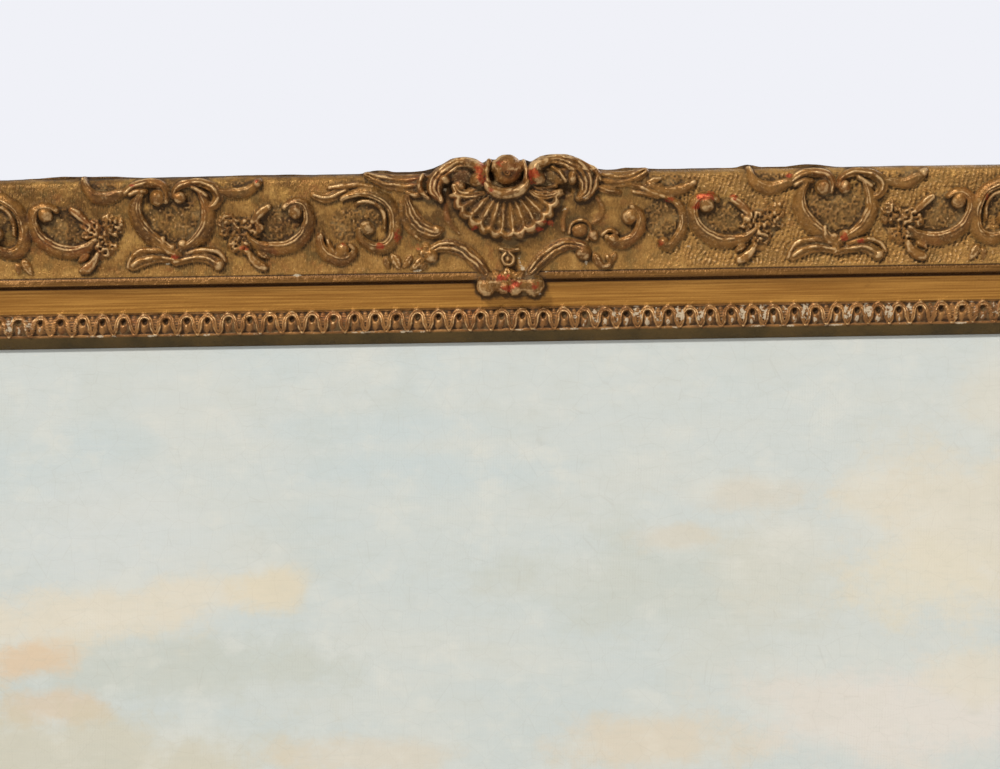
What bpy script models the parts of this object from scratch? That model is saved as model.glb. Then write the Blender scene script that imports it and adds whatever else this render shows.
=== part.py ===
"""A framed oil painting: a gilt, carved and moulded frame of four mitred rails round a canvas on its stretcher.

The painting hangs on a wall. The origin is on the flat back of the top rail, in the middle of the frame's width
and of the rail's. +X runs to the viewer's right, +Z up, and the wall lies towards +Y, so the picture faces -Y.
"""

import math

import bmesh
import bpy
import numpy as np
from mathutils import Vector
from mathutils.geometry import delaunay_2d_cdt

MM = 0.001

# Frame, outside sizes
FRAME_WIDTH = 1000.0 * MM
FRAME_HEIGHT = 800.0 * MM
JOINT_GAP = 0.3 * MM

# Rail profile, widths measured inwards from the outer edge
ROLL_WIDTH = 5.0 * MM
PANEL_WIDTH = 60.2 * MM
FILLET_WIDTH = 4.4 * MM
STEP_WIDTH = 1.2 * MM
COVE_WIDTH = 16.2 * MM
OVOLO_WIDTH = 13.2 * MM
FLAT_WIDTH = 1.2 * MM
BEVEL_WIDTH = 5.7 * MM
BACK_INSET = 2.0 * MM

# Rail profile, depths measured forwards from the flat back
PANEL_DEPTH = 46.6 * MM
SIDE_DEPTH = 38.0 * MM
CREST_ROOT_DEPTH = 29.0 * MM
FILLET_DEPTH = 34.0 * MM
COVE_DEPTH = 30.0 * MM
SIGHT_DEPTH = 25.6 * MM
OVOLO_RISE = 2.8 * MM
LIP_DEPTH = 21.6 * MM

# Rebate, canvas and stretcher
REBATE_DEPTH = 20.0 * MM
REBATE_WIDTH = 7.0 * MM
REBATE_CLEARANCE = 1.5 * MM
CANVAS_THICKNESS = 1.0 * MM
STRETCHER_WIDTH = 45.0 * MM
STRETCHER_DEPTH = 16.0 * MM
FACE_GAP = 0.3 * MM
KEY_LENGTH = 26.0 * MM
KEY_WIDTH = 14.0 * MM
KEY_TIP = 4.0 * MM
KEY_THICKNESS = 3.0 * MM
KEY_BURIED = 10.0 * MM
PIN_DIAMETER = 1.6 * MM
PIN_LENGTH = 20.0 * MM
PIN_BURIED = 5.0 * MM
PIN_SPREAD = 0.5
PIN_SIDES = 6

# The applied ornament keeps its proportions as the panel that carries it changes width. Its motifs are drawn in
# ornament millimetres: u runs along the rail from its middle, q inwards from its outer edge
ORNAMENT_MM = PANEL_WIDTH / 60.2
SPAN_SAMPLES = 8
CLOSE_STATION = 13.5
WIDE_STATION = 20.0
LOW_RELIEF = 4.3
SMALL_RADIUS = 4.25
CREST_REACH = 66.0
CREST_STATION = 4.0
CREST_FINENESS = 0.8
CORNER_REACH = 134.0
BED_BLEND = 3.0
BOLD_HALF_WIDTH = 4.5
GROUND_STATION = 60.0
GROUND_ROWS = (0.35, 0.7)

# The shell in the middle of each rail and the fan in each corner
SHELL_Q = 3.0
SHELL_LOBES = 7
SHELL_SPREAD = math.radians(82)
SHELL_SIDE = 33.0
SHELL_DROP = 39.0
SHELL_SCALLOP = 2.0
SHELL_HEIGHT = 5.6
SHELL_FLUTE = 3.0
FAN_AT = 6.0
FAN_LOBES = 5
FAN_SPREAD = math.radians(40)
FAN_RADIUS = 60.0
FAN_SCALLOP = 3.0
FAN_HEIGHT = 5.0

RAIL_WIDTH = PANEL_WIDTH + FILLET_WIDTH + STEP_WIDTH + COVE_WIDTH + OVOLO_WIDTH + FLAT_WIDTH + BEVEL_WIDTH
REBATE_EDGE = RAIL_WIDTH - REBATE_WIDTH
ORIGIN_DROP = (BACK_INSET + REBATE_EDGE) / 2
FRAME_CENTRE_Z = ORIGIN_DROP - FRAME_HEIGHT / 2
MITRE_SETBACK = JOINT_GAP / 2 * math.sqrt(2)
CANVAS_INSET = REBATE_EDGE + REBATE_CLEARANCE
CANVAS_FRONT = REBATE_DEPTH - FACE_GAP
STRETCHER_INSET = CANVAS_INSET + CANVAS_THICKNESS + FACE_GAP
STRETCHER_FRONT = CANVAS_FRONT - CANVAS_THICKNESS - FACE_GAP
STRETCHER_BACK = STRETCHER_FRONT - STRETCHER_DEPTH

TOP, RIGHT, BOTTOM, LEFT = (math.radians(angle) for angle in (0, 90, 180, -90))
SIDES = {"top": TOP, "right": RIGHT, "bottom": BOTTOM, "left": LEFT}


def side_length(side):
    """The frame's outside length along one side."""
    return FRAME_WIDTH if side in ("top", "bottom") else FRAME_HEIGHT


def side_reach(side):
    """How far a side's outer edge lies from the frame's centre."""
    return (FRAME_HEIGHT if side in ("top", "bottom") else FRAME_WIDTH) / 2


# Curves and motifs in the panel's plane

def smooth(points, step):
    """A Catmull-Rom curve through rows of numbers, whose first two columns are a place, at stations a step apart."""
    rows = np.array(points, float)
    padded = np.vstack([2 * rows[0] - rows[1], rows, 2 * rows[-1] - rows[-2]])
    made = []
    for a, b, c, d in zip(padded, padded[1:], padded[2:], padded[3:]):
        turn = 2 * a - 5 * b + 4 * c - d
        twist = 3 * b - a - 3 * c + d
        t = np.arange(SPAN_SAMPLES)[:, None] / SPAN_SAMPLES
        made.append((2 * b + (c - a) * t + turn * t**2 + twist * t**3) / 2)
    line = np.vstack(made + [rows[-1:]])
    travelled = np.concatenate([[0], np.cumsum(np.hypot(*np.diff(line[:, :2], axis=0).T))])
    stations = np.linspace(0, travelled[-1], max(2, round(travelled[-1] / step)) + 1)
    return np.stack([np.interp(stations, travelled, column) for column in line.T], 1)


def band(points, height):
    """A raised strand: rows of (u, q, half width) and the height of its crown."""
    return {"rows": points, "height": height}


def boss(u, q, radius, height, sides=6):
    """A ball, bud or lobe."""
    return {"at": (u, q), "radius": radius, "height": height, "sides": sides}


def placed(shapes, along=0.0, mirror=False):
    """The same shapes further along the rail, or seen in a mirror first."""
    turn = -1 if mirror else 1
    made = []
    for shape in shapes:
        copy = dict(shape)
        if "rows" in shape:
            copy["rows"] = [(turn * u + along, q, w) for u, q, w in shape["rows"]]
        else:
            copy["at"] = (turn * shape["at"][0] + along, shape["at"][1])
        made.append(copy)
    return made


def shield_motif():
    """A heart-shaped shield: two reeded rims that cross below, scroll ends above, a leaf at each side."""
    return [
        band([(-22, 12, 3), (-22.5, 19, 4.2), (-19, 30, 4.2), (-10, 39, 3.6), (0, 47, 3)], 4.4),
        band([(19, 12, 3), (21, 20, 4.2), (18, 31, 4.2), (9, 40, 3.6), (0, 47, 3)], 4.4),
        band([(-5, 8, 2.6), (-10, 3.5, 2.8), (-18, 4.5, 2.8), (-23, 8, 2.6)], 4.4),
        band([(6, 9, 2.2), (11, 5.5, 2.4), (17, 6, 2.4), (21, 10, 2.2)], 4.2),
        boss(-8, 11.8, 4.4, 5.6),
        boss(4.5, 12.3, 3.7, 5.2),
        band([(15, 4, 2), (24, 6.5, 2.8), (26.5, 12, 2.8), (23, 17.5, 2.4)], 4.2),
        band([(-52.5, 2, 1.8), (-50, 9, 3), (-43, 12.5, 3.6), (-34, 11, 3), (-26, 7, 2)], 3.8),
        band([(29, 9, 2), (37, 11.6, 3.2), (46, 10, 3.4), (51.5, 4.5, 2.4)], 3.8),
        band([(-3, 46.5, 2.2), (-14, 46, 3), (-22, 48.6, 3), (-27, 53.5, 2.2)], 3.8),
        band([(3, 47, 2.2), (14, 45.5, 3), (23, 48, 3), (28, 53.5, 2.2)], 3.8),
        boss(-6, 39, 2.4, 4.8),
        boss(4.5, 40.2, 3.2, 5.0),
    ]


def moon_motif():
    """A boat-shaped scroll that ends in a ball, with a leaf, two flowers and a hanging petal."""
    rim = [(12, 17, 2.6), (18, 20, 3), (19, 28, 3.4), (13.5, 38, 3.6), (4, 43, 3.6), (-8, 42, 3), (-16, 37.5, 2)]
    return [
        band(rim, 4.6),
        boss(12, 20.5, 4.3, 5.4),
        band([(-6, 25, 2), (-5, 19, 3), (-2, 15, 1.6)], 3.0),
        boss(-27, 28.5, 5.4, 4.2),
        boss(-12, 30, 5.8, 4.2),
        boss(-20, 41, 4.0, 3.4),
        band([(-12, 43, 2), (-8.5, 48, 3.4), (-6, 52, 1.8)], 3.4),
    ]


def roundel_motif():
    """A large C-scroll that winds into a ball, with a lower scroll beside it and a leaf above."""
    return [
        band([(-8, 12, 2.4), (0, 11, 3), (8, 13, 3.4), (15, 20, 3.4), (17.5, 29, 3.4), (16, 38, 3.6),
              (9.5, 43.5, 3.6), (2, 40.5, 3.2), (-1.5, 35, 2.6)], 4.8),
        boss(1.7, 33, 4.2, 5.4),
        band([(-19, 21, 1.8), (-27.5, 31, 2.4), (-26, 42, 3.2), (-19, 49.5, 3.4), (-10, 49, 3)], 4.2),
        boss(-12.5, 46, 4.2, 5.2),
        band([(-29, 11.5, 2.2), (-21, 13, 3), (-12, 10, 3), (-3, 6.5, 2.2)], 4.0),
    ]


def small_roundel_motif():
    """A small scroll that winds into a ball beside a leaf, and the far rim of its roundel."""
    return [
        band([(-12, 23, 2.4), (-9, 29, 3.2), (-10.5, 37, 3.4), (-17, 43, 3.4), (-25.5, 43.5, 3)], 4.6),
        boss(-15, 28, 4.6, 5.6),
        boss(-26.5, 40.5, 3.2, 5.0),
        band([(8.5, 18.5, 2), (15, 22, 2.8), (17.5, 32, 3), (14, 42, 3.2), (7.5, 46.5, 3)], 4.2),
        boss(7, 45.5, 3.6, 4.6),
        band([(22.5, 9.5, 2.4), (15, 12.6, 3.4), (5, 13, 3.0), (-6, 8, 2)], 3.8),
    ]


def half_cartouche():
    """One half of the crest in a rail's middle: horn, lobes, side strands and the scroll below."""
    return [
        band([(37, 17, 2.6), (44, 12, 4.8), (45.5, 5, 5.2), (42, -1.5, 5), (35, -4.6, 4), (26, -5.6, 3.4),
              (18, -3.6, 3.4), (14.5, 0, 2.8)], 9.0),
        boss(17.6, 4.4, 5.0, 12.0, 9),
        boss(36.5, 1.5, 4.0, 6.0),
        band([(13.5, 12, 2.4), (22, 14, 3), (31, 12.5, 2)], 7.5),
        band([(51, 2, 2.4), (58, 6.5, 2.8), (67, 7.6, 2.6), (77, 4.5, 2)], 4.6),
        band([(53, 9, 2), (60, 12.5, 2.2), (67, 14, 1.4)], 4.0),
        band([(57, 17, 1.8), (55.5, 25, 2.8), (51, 32, 3), (44, 35.5, 3.4)], 3.8),
        band([(46, 48, 4), (42, 42.5, 3), (33, 42.5, 3.2), (24, 46.5, 3.2), (13, 57, 2.8)], 5.0),
        boss(47, 48, 4.6, 5.4, 8),
        band([(53.5, 47, 1.8), (57, 53, 3), (61, 57, 1.4)], 2.8),
        boss(14.4, 68, 5.8, 5.6, 8),
    ]


def cartouche_motif():
    """The crest in a rail's middle: ball, crescent collar, horns and the drop that hangs over the fillet."""
    middle = [
        boss(0, -3.2, 6.5, 12.0, 10),
        band([(-12, -5.2, 2.4), (-13, 2, 2.4), (-9, 10, 3.4), (0, 13.4, 4), (9, 10, 3.4), (13, 2, 2.4),
              (12, -5.2, 2.4)], 10.5),
        boss(0, 52.5, 4.6, 4.6),
        band([(-9, 63.5, 2.6), (0, 61.5, 3.6), (9, 63.5, 2.6)], 5.4),
        boss(-3, 69, 3.8, 5.4),
        boss(4.6, 68.5, 3.8, 5.0),
    ]
    return middle + placed(half_cartouche()) + placed(half_cartouche(), mirror=True)


def corner_motif():
    """Half of a corner's scrollwork, as distances from the two outer edges."""
    return [
        band([(72, 44, 2.2), (83, 36, 4), (87, 24, 4.6), (81, 12.5, 4), (70, 10, 3)], 6.0),
        boss(69, 16, 5.2, 8.0, 8),
        band([(90, 44, 2), (101, 48, 3), (113, 45, 3.4), (120, 36, 3.2), (117, 27, 2.6)], 4.6),
        boss(112.5, 30, 4.2, 5.4),
        band([(94, 15, 2), (106, 18.5, 3.2), (120, 15.5, 3.4), (131, 9, 2)], 4.0),
    ]


# The run of motifs on each side of a rail's middle: motif, distance of its centre, reach, and whether it is mirrored
LEFT_RUN = (
    (roundel_motif, -86.0, 32.0, False),
    (moon_motif, -139.5, 33.0, False),
    (shield_motif, -201.0, 55.0, False),
    (moon_motif, -265.0, 33.0, True),
    (roundel_motif, -309.0, 32.0, False),
)
RIGHT_RUN = (
    (small_roundel_motif, 88.5, 30.0, False),
    (moon_motif, 132.0, 33.0, True),
    (shield_motif, 198.0, 55.0, False),
    (moon_motif, 259.0, 33.0, False),
    (roundel_motif, 300.0, 32.0, True),
)


def bold(shape):
    """Whether a shape is large or high enough for the plainer rails."""
    large = "rows" in shape or shape["radius"] > SMALL_RADIUS
    return large and shape["height"] > LOW_RELIEF


def rail_shapes(length, plainer):
    """Every strand and boss on a rail of this length."""
    half = length / 2 / ORNAMENT_MM
    shapes = cartouche_motif()
    for motif, centre, reach, mirror in LEFT_RUN + RIGHT_RUN:
        if abs(centre) + reach < half - CORNER_REACH:
            shapes += placed(motif(), centre, mirror)
    shapes += placed(corner_motif(), -half)
    shapes += placed(corner_motif(), half, True)
    return [shape for shape in shapes if bold(shape) or not plainer]


def shell_edge(angle):
    """How far the shell reaches at an angle from straight inwards."""
    oval = 1 / math.hypot(math.sin(angle) / SHELL_SIDE, math.cos(angle) / SHELL_DROP)
    return oval - SHELL_SCALLOP * (1 - lobe_wave(angle, SHELL_SPREAD, SHELL_LOBES))


def fan_edge(angle):
    """How far a corner's fan reaches at an angle from the mitre."""
    return FAN_RADIUS - FAN_SCALLOP * (1 - lobe_wave(angle, FAN_SPREAD, FAN_LOBES))


def lobe_wave(angle, spread, lobes):
    """1 in the middle of each flute and 0 between two of them."""
    return abs(math.cos(angle / (2 * spread) * lobes * math.pi))


def fluted_height(radius, edge, wave, height):
    """The height of a fluted fan at a share of its reach: it swells towards its scalloped edge."""
    if radius >= edge:
        return 0.0
    share = radius / edge
    swell = math.sin(min(1.0, share * 1.12) * math.pi * 0.56) * min(1.0, (1 - share) * 9)
    return swell * (height - SHELL_FLUTE * (1 - wave) * math.sqrt(share))


def shell_height(u, q):
    """The shell's height over a rail's middle."""
    radius, angle = math.hypot(u, q - SHELL_Q), math.atan2(u, q - SHELL_Q)
    if abs(angle) > SHELL_SPREAD:
        return 0.0
    return fluted_height(radius, shell_edge(angle), lobe_wave(angle, SHELL_SPREAD, SHELL_LOBES), SHELL_HEIGHT)


def fan_height(a, b):
    """A corner fan's height, from the distances to the two outer edges, even about the mitre."""
    radius, angle = math.hypot(a - FAN_AT, b - FAN_AT), math.atan2(b - FAN_AT, a - FAN_AT) - math.pi / 4
    if abs(angle) > FAN_SPREAD:
        return 0.0
    return fluted_height(radius, fan_edge(angle), lobe_wave(angle, FAN_SPREAD, FAN_LOBES), FAN_HEIGHT)


def fan_grid(edge_of, spread, lobes, shares):
    """Places on a fan: along the middle of each flute and between flutes, at each share of its reach."""
    rings = []
    for share in shares:
        ring = []
        for step in range(2 * lobes + 1):
            angle = spread * (step / lobes - 1)
            ring.append((angle, share * edge_of(angle)))
        rings.append(ring)
    return rings


# A rail

def profile_depth(t):
    """The plain moulding's depth at a distance from the outer edge, both in metres."""
    if t <= ROLL_WIDTH:
        rise = math.sin(max(0.0, t) / ROLL_WIDTH * math.pi / 2)
        return SIDE_DEPTH + (PANEL_DEPTH - SIDE_DEPTH) * rise**0.6
    if t <= PANEL_WIDTH:
        share = (t - ROLL_WIDTH) / (PANEL_WIDTH - ROLL_WIDTH)
        return FILLET_DEPTH + (PANEL_DEPTH - FILLET_DEPTH) * (1 + math.cos(math.pi * share)) / 2
    t -= PANEL_WIDTH
    if t <= FILLET_WIDTH:
        return FILLET_DEPTH
    t -= FILLET_WIDTH
    if t <= STEP_WIDTH:
        return FILLET_DEPTH + (COVE_DEPTH - FILLET_DEPTH) * t / STEP_WIDTH
    t -= STEP_WIDTH
    if t <= COVE_WIDTH:
        return SIGHT_DEPTH + (COVE_DEPTH - SIGHT_DEPTH) * (1 - math.sin(math.pi / 2 * t / COVE_WIDTH))
    t -= COVE_WIDTH
    if t <= OVOLO_WIDTH:
        return SIGHT_DEPTH + OVOLO_RISE * math.sin(math.pi * t / OVOLO_WIDTH)
    t -= OVOLO_WIDTH
    if t <= FLAT_WIDTH:
        return SIGHT_DEPTH
    return SIGHT_DEPTH + (LIP_DEPTH - SIGHT_DEPTH) * min(1.0, (t - FLAT_WIDTH) / BEVEL_WIDTH)


def bed_depth(t):
    """The level that the ornament is bedded on: the panel, carried on over the outer roll and the cove."""
    if t < ROLL_WIDTH:
        return PANEL_DEPTH
    return FILLET_DEPTH if t > PANEL_WIDTH else profile_depth(t)


def profile_lines():
    """The distances from the outer edge at which a line runs along the moulding."""
    fillet = PANEL_WIDTH + FILLET_WIDTH
    cove = fillet + STEP_WIDTH
    ovolo = cove + COVE_WIDTH
    flat = ovolo + OVOLO_WIDTH
    lines = [ROLL_WIDTH * 0.25, ROLL_WIDTH, PANEL_WIDTH, fillet, cove]
    lines += [cove + COVE_WIDTH * share for share in (0.4, 1.0)]
    lines += [ovolo + OVOLO_WIDTH * share for share in (0.22, 0.5, 0.78, 1.0)]
    return lines + [flat + FLAT_WIDTH]


def band_height(places, shape, step):
    """A strand's height over each place: a rounded section whose width follows the strand."""
    line = smooth(shape["rows"], step)
    best = np.zeros(len(places))
    for start, end in zip(line, line[1:]):
        along = end[:2] - start[:2]
        share = np.clip((places - start[:2]) @ along / (along @ along), 0, 1)
        nearest = start[:2] + share[:, None] * along
        width = start[2] + share * (end[2] - start[2])
        away = np.hypot(*(places - nearest).T) / width
        best = np.maximum(best, shape["height"] * (1 - away**2))
    return best


def boss_height(places, shape):
    """A ball's height over each place."""
    away = np.hypot(*(places - np.array(shape["at"])).T) / shape["radius"]
    return np.maximum(0, shape["height"] * (1 - away**2.4))


def relief_heights(places, shapes, length, step):
    """The ornament's height over each place, all in ornament millimetres."""
    half = length / 2 / ORNAMENT_MM
    best = np.array([max(shell_height(u, q), fan_height(half - abs(u), q)) for u, q in places])
    for shape in shapes:
        found = band_height(places, shape, step) if "rows" in shape else boss_height(places, shape)
        best = np.maximum(best, found)
    return best


def crest_height(u, shapes):
    """How far the crest stands beyond the rail's outer edge."""
    best = 0.0
    for shape in shapes:
        discs = smooth(shape["rows"], 2.0) if "rows" in shape else [(*shape["at"], shape["radius"])]
        for at, q, radius in discs:
            if abs(u - at) < radius:
                best = max(best, math.sqrt(radius**2 - (u - at) ** 2) - q)
    return best


def band_outline(shape, step):
    """A strand's construction lines: its crown, on a bold one its shoulders too, and its foot all round."""
    line = smooth(shape["rows"], step)
    along = np.gradient(line[:, :2], axis=0)
    side = np.stack([-along[:, 1], along[:, 0]], 1) / np.hypot(*along.T)[:, None]
    ahead = along / np.hypot(*along.T)[:, None] * line[:, 2:3]
    shares = (-0.55, 0, 0.55) if line[:, 2].max() > BOLD_HALF_WIDTH else (0,)
    crowns = [line[:, :2] + side * line[:, 2:3] * share for share in shares]
    left, right = line[:, :2] + side * line[:, 2:3], line[:, :2] - side * line[:, 2:3]
    head, tail = line[0, :2] - ahead[0], line[-1, :2] + ahead[-1]
    return crowns + [np.vstack([head, left, tail, right[::-1], head])]


def ring_of(at, radius, sides):
    """A round of places about a centre."""
    turns = np.arange(sides) / sides * 2 * math.pi
    return np.array(at) + radius * np.stack([np.cos(turns), np.sin(turns)], 1)


class Plan:
    """Places in a rail's plan, in metres along it and inwards from its outer edge, and the edges between them."""

    def __init__(self):
        self.places = []
        self.edges = []

    def line(self, places, closed=False):
        first = len(self.places)
        self.places += [(float(x), float(t)) for x, t in places]
        last = len(self.places) - 1
        self.edges += [(i, i + 1) for i in range(first, last)]
        if closed:
            self.edges.append((last, first))

    def points(self, places):
        self.places += [(float(x), float(t)) for x, t in places]


def outer_line(length, crest_shapes):
    """The rail's outer edge in plan, with the crest standing beyond it."""
    half = length / 2 - MITRE_SETBACK
    places = [(-half, 0.0)]
    count = round(2 * CREST_REACH / CREST_STATION)
    for step in range(count + 1):
        u = CREST_REACH * (2 * step / count - 1)
        places.append((u * ORNAMENT_MM, -crest_height(u, crest_shapes) * ORNAMENT_MM))
    return places + [(half, 0.0)]


def draw_plan(length, shapes, step):
    """The rail's plan: its border, moulding lines, strands, bosses and fans."""
    plan = Plan()
    half = length / 2 - MITRE_SETBACK
    outer = outer_line(length, cartouche_motif())
    plan.line(outer)
    for end in (-1, 1):
        plan.line([(end * half, 0.0), (end * (half - RAIL_WIDTH), RAIL_WIDTH)])
    plan.line([(RAIL_WIDTH - half, RAIL_WIDTH), (half - RAIL_WIDTH, RAIL_WIDTH)])
    for t in profile_lines():
        plan.line([(t - half, t), (half - t, t)])
    for shape in shapes:
        if "rows" in shape:
            near = abs(shape["rows"][0][0]) < CREST_REACH
            for line in band_outline(shape, step * CREST_FINENESS if near else step):
                plan.line(line * ORNAMENT_MM)
        else:
            plan.line(ring_of(shape["at"], shape["radius"], shape["sides"]) * ORNAMENT_MM, True)
            plan.points([np.array(shape["at"]) * ORNAMENT_MM])
            if shape["radius"] > BOLD_HALF_WIDTH and shape["height"] > shape["radius"]:
                plan.line(ring_of(shape["at"], shape["radius"] * 0.65, shape["sides"]) * ORNAMENT_MM, True)
    return plan


def draw_fans(plan, length):
    """The shell and the corner fans, on rings that follow their scallops."""
    for ring in fan_grid(shell_edge, SHELL_SPREAD, SHELL_LOBES, (0.45, 0.85, 1.0)):
        places = [(reach * math.sin(angle), SHELL_Q + reach * math.cos(angle)) for angle, reach in ring]
        plan.line(np.array(places) * ORNAMENT_MM)
    half = length / 2 / ORNAMENT_MM
    for end in (-1, 1):
        for ring in fan_grid(fan_edge, FAN_SPREAD, FAN_LOBES, (0.45, 0.88, 1.0)):
            places = []
            for angle, reach in ring:
                a = FAN_AT + reach * math.cos(angle + math.pi / 4)
                b = FAN_AT + reach * math.sin(angle + math.pi / 4)
                if a >= b:
                    places.append((end * (half - a), b))
            plan.line(np.array(places) * ORNAMENT_MM)


def draw_ground(plan, length, shapes, step):
    """Places on the bare panel between the motifs, which carry its hollow curve."""
    places = []
    for share in GROUND_ROWS:
        q = (ROLL_WIDTH + share * (PANEL_WIDTH - ROLL_WIDTH)) / ORNAMENT_MM
        reach = length / 2 / ORNAMENT_MM - q - 4
        count = round(2 * reach / GROUND_STATION)
        places += [(reach * (2 * place / count - 1), q) for place in range(count + 1)]
    places = np.array(places)
    bare = relief_heights(places, shapes, length, step) <= 0
    plan.points(places[bare] * ORNAMENT_MM)


def inside_border(x, t, length, outer):
    """Whether a place is inside the rail's plan."""
    if t > RAIL_WIDTH or abs(x) > length / 2 - MITRE_SETBACK - t and t > 0:
        return False
    return t > np.interp(x, *np.array(outer).T)


def rail_surface(length, shapes, step):
    """The rail's ornamented front: places in space and triangles between them."""
    plan = draw_plan(length, shapes, step)
    draw_fans(plan, length)
    draw_ground(plan, length, shapes, step)
    outer = outer_line(length, cartouche_motif())
    vectors = [Vector(place) for place in plan.places]
    places, _, faces, *_ = delaunay_2d_cdt(vectors, plan.edges, [], 0, 2e-5, False)
    places = np.array([tuple(place) for place in places])
    kept = []
    for face in faces:
        x, t = places[list(face)].mean(axis=0)
        if inside_border(x, t, length, outer):
            kept.append(list(face))
    heights = relief_heights(places / ORNAMENT_MM, shapes, length, step)
    depths = []
    for (x, t), height in zip(places, heights):
        bare, bed = profile_depth(t), bed_depth(t)
        depths.append(bare + max(0.0, bed - bare) * min(1.0, height / BED_BLEND) + height * ORNAMENT_MM)
    return places, depths, kept


def close_rail(mesh, verts, places, length):
    """Side, lip, rebate, back and mitre faces round the ornamented front."""
    half = length / 2 - MITRE_SETBACK
    roots = {}
    ends = {-1: set(), 1: set()}
    inner = set()

    def root_of(index):
        if index not in roots:
            x = max(-half, min(half, places[index][0]))
            roots[index] = mesh.verts.new((x, -CREST_ROOT_DEPTH, 0.0))
        return roots[index]

    for edge in [edge for edge in mesh.edges if len(edge.link_faces) == 1]:
        pair = [vert.index for vert in edge.verts]
        x, t = places[pair].mean(axis=0)
        if abs(t - RAIL_WIDTH) < 1e-6:
            inner.update(pair)
        elif t > 1e-6 and abs(abs(x) - (half - t)) < 1e-6:
            ends[1 if x > 0 else -1].update(pair)
        else:
            mesh.faces.new([verts[pair[0]], verts[pair[1]], root_of(pair[1]), root_of(pair[0])])
    lips = {}
    for end in ends:
        lips[end] = [
            mesh.verts.new((end * (half - RAIL_WIDTH), -REBATE_DEPTH, RAIL_WIDTH)),
            mesh.verts.new((end * (half - REBATE_EDGE), -REBATE_DEPTH, REBATE_EDGE)),
            mesh.verts.new((end * (half - REBATE_EDGE), 0.0, REBATE_EDGE)),
            mesh.verts.new((end * (half - BACK_INSET), 0.0, BACK_INSET)),
        ]
        chain = sorted(ends[end], key=lambda index: places[index][1])
        mesh.faces.new([root_of(chain[0])] + [verts[index] for index in chain] + lips[end])
    for first, second in zip(lips[-1], lips[-1][1:]):
        others = [lips[1][lips[-1].index(second)], lips[1][lips[-1].index(first)]]
        mesh.faces.new([first, second] + others)
    sight = sorted(inner, key=lambda index: places[index][0])
    mesh.faces.new([verts[index] for index in sight] + [lips[1][0], lips[-1][0]])
    edge_line = sorted(roots, key=lambda index: places[index][0])
    mesh.faces.new([roots[index] for index in edge_line] + [lips[1][3], lips[-1][3]])


def material(name, colour, roughness, metallic=0.0):
    made = bpy.data.materials.new(name)
    made.use_nodes = True
    shader = made.node_tree.nodes["Principled BSDF"]
    shader.inputs["Base Color"].default_value = (*colour, 1.0)
    shader.inputs["Roughness"].default_value = roughness
    shader.inputs["Metallic"].default_value = metallic
    made.diffuse_color = (*colour, 1.0)
    return made


def add_object(name, mesh, made_of, turn=TOP):
    """Puts a mesh built about the frame's centre, as the top side, on the side that the turn brings it to."""
    bmesh.ops.recalc_face_normals(mesh, faces=mesh.faces[:])
    data = bpy.data.meshes.new(name)
    mesh.to_mesh(data)
    mesh.free()
    data.materials.append(made_of)
    made = bpy.data.objects.new(name, data)
    made.location = (0.0, 0.0, FRAME_CENTRE_Z)
    made.rotation_euler = (0.0, turn, 0.0)
    bpy.context.scene.collection.objects.link(made)
    return made


def add_rail(side, made_of):
    """One mitred rail. The top one, which the eye meets first, has the fullest carving."""
    length, reach = side_length(side), side_reach(side)
    plainer = side != "top"
    step = WIDE_STATION if plainer else CLOSE_STATION
    shapes = rail_shapes(length, plainer)
    places, depths, faces = rail_surface(length, shapes, step)
    mesh = bmesh.new()
    verts = [mesh.verts.new((x, -depth, t)) for (x, t), depth in zip(places, depths)]
    mesh.verts.index_update()
    for face in faces:
        mesh.faces.new([verts[index] for index in face])
    close_rail(mesh, verts, places, length)
    bmesh.ops.delete(mesh, geom=[vert for vert in mesh.verts if not vert.link_faces], context="VERTS")
    for vert in mesh.verts:
        vert.co.z = reach - vert.co.z
    return add_object(f"{side}_rail", mesh, made_of, SIDES[side])


# Canvas, stretcher and fixings

def prism(outline, front, back):
    """A flat piece: an outline of (x, z) between two depths."""
    mesh = bmesh.new()
    near = [mesh.verts.new((x, -front, z)) for x, z in outline]
    far = [mesh.verts.new((x, -back, z)) for x, z in outline]
    mesh.faces.new(near)
    mesh.faces.new(far[::-1])
    for index in range(len(outline)):
        following = (index + 1) % len(outline)
        mesh.faces.new([near[index], far[index], far[following], near[following]])
    return mesh


def rectangle(inset):
    """Half width and half height of a rectangle set in from the frame's outside."""
    return FRAME_WIDTH / 2 - inset, FRAME_HEIGHT / 2 - inset


def add_canvas(made_of):
    """The canvas, turned over the stretcher's edges: a shallow tray, open at the back."""
    mesh = bmesh.new()
    loops = []
    insets = (CANVAS_INSET, CANVAS_INSET, CANVAS_INSET + CANVAS_THICKNESS, CANVAS_INSET + CANVAS_THICKNESS)
    depths = (CANVAS_FRONT, STRETCHER_BACK, STRETCHER_BACK, CANVAS_FRONT - CANVAS_THICKNESS)
    for inset, depth in zip(insets, depths):
        x, z = rectangle(inset)
        loops.append([mesh.verts.new((a * x, -depth, b * z)) for a, b in ((-1, -1), (1, -1), (1, 1), (-1, 1))])
    for near, far in zip(loops, loops[1:]):
        for index in range(4):
            following = (index + 1) % 4
            mesh.faces.new([near[index], near[following], far[following], far[index]])
    mesh.faces.new(loops[0])
    mesh.faces.new(loops[-1])
    return add_object("canvas", mesh, made_of)


def add_cutter(name, outline, front, back, turn):
    """A hidden prism that cuts a slot."""
    cutter = add_object(name, prism(outline, front, back), bpy.data.materials["bare wood"], turn)
    cutter.hide_render = True
    cutter.display_type = "WIRE"
    return cutter


def cut(target, cutter):
    modifier = target.modifiers.new(cutter.name, "BOOLEAN")
    modifier.operation = "DIFFERENCE"
    modifier.object = cutter


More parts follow.
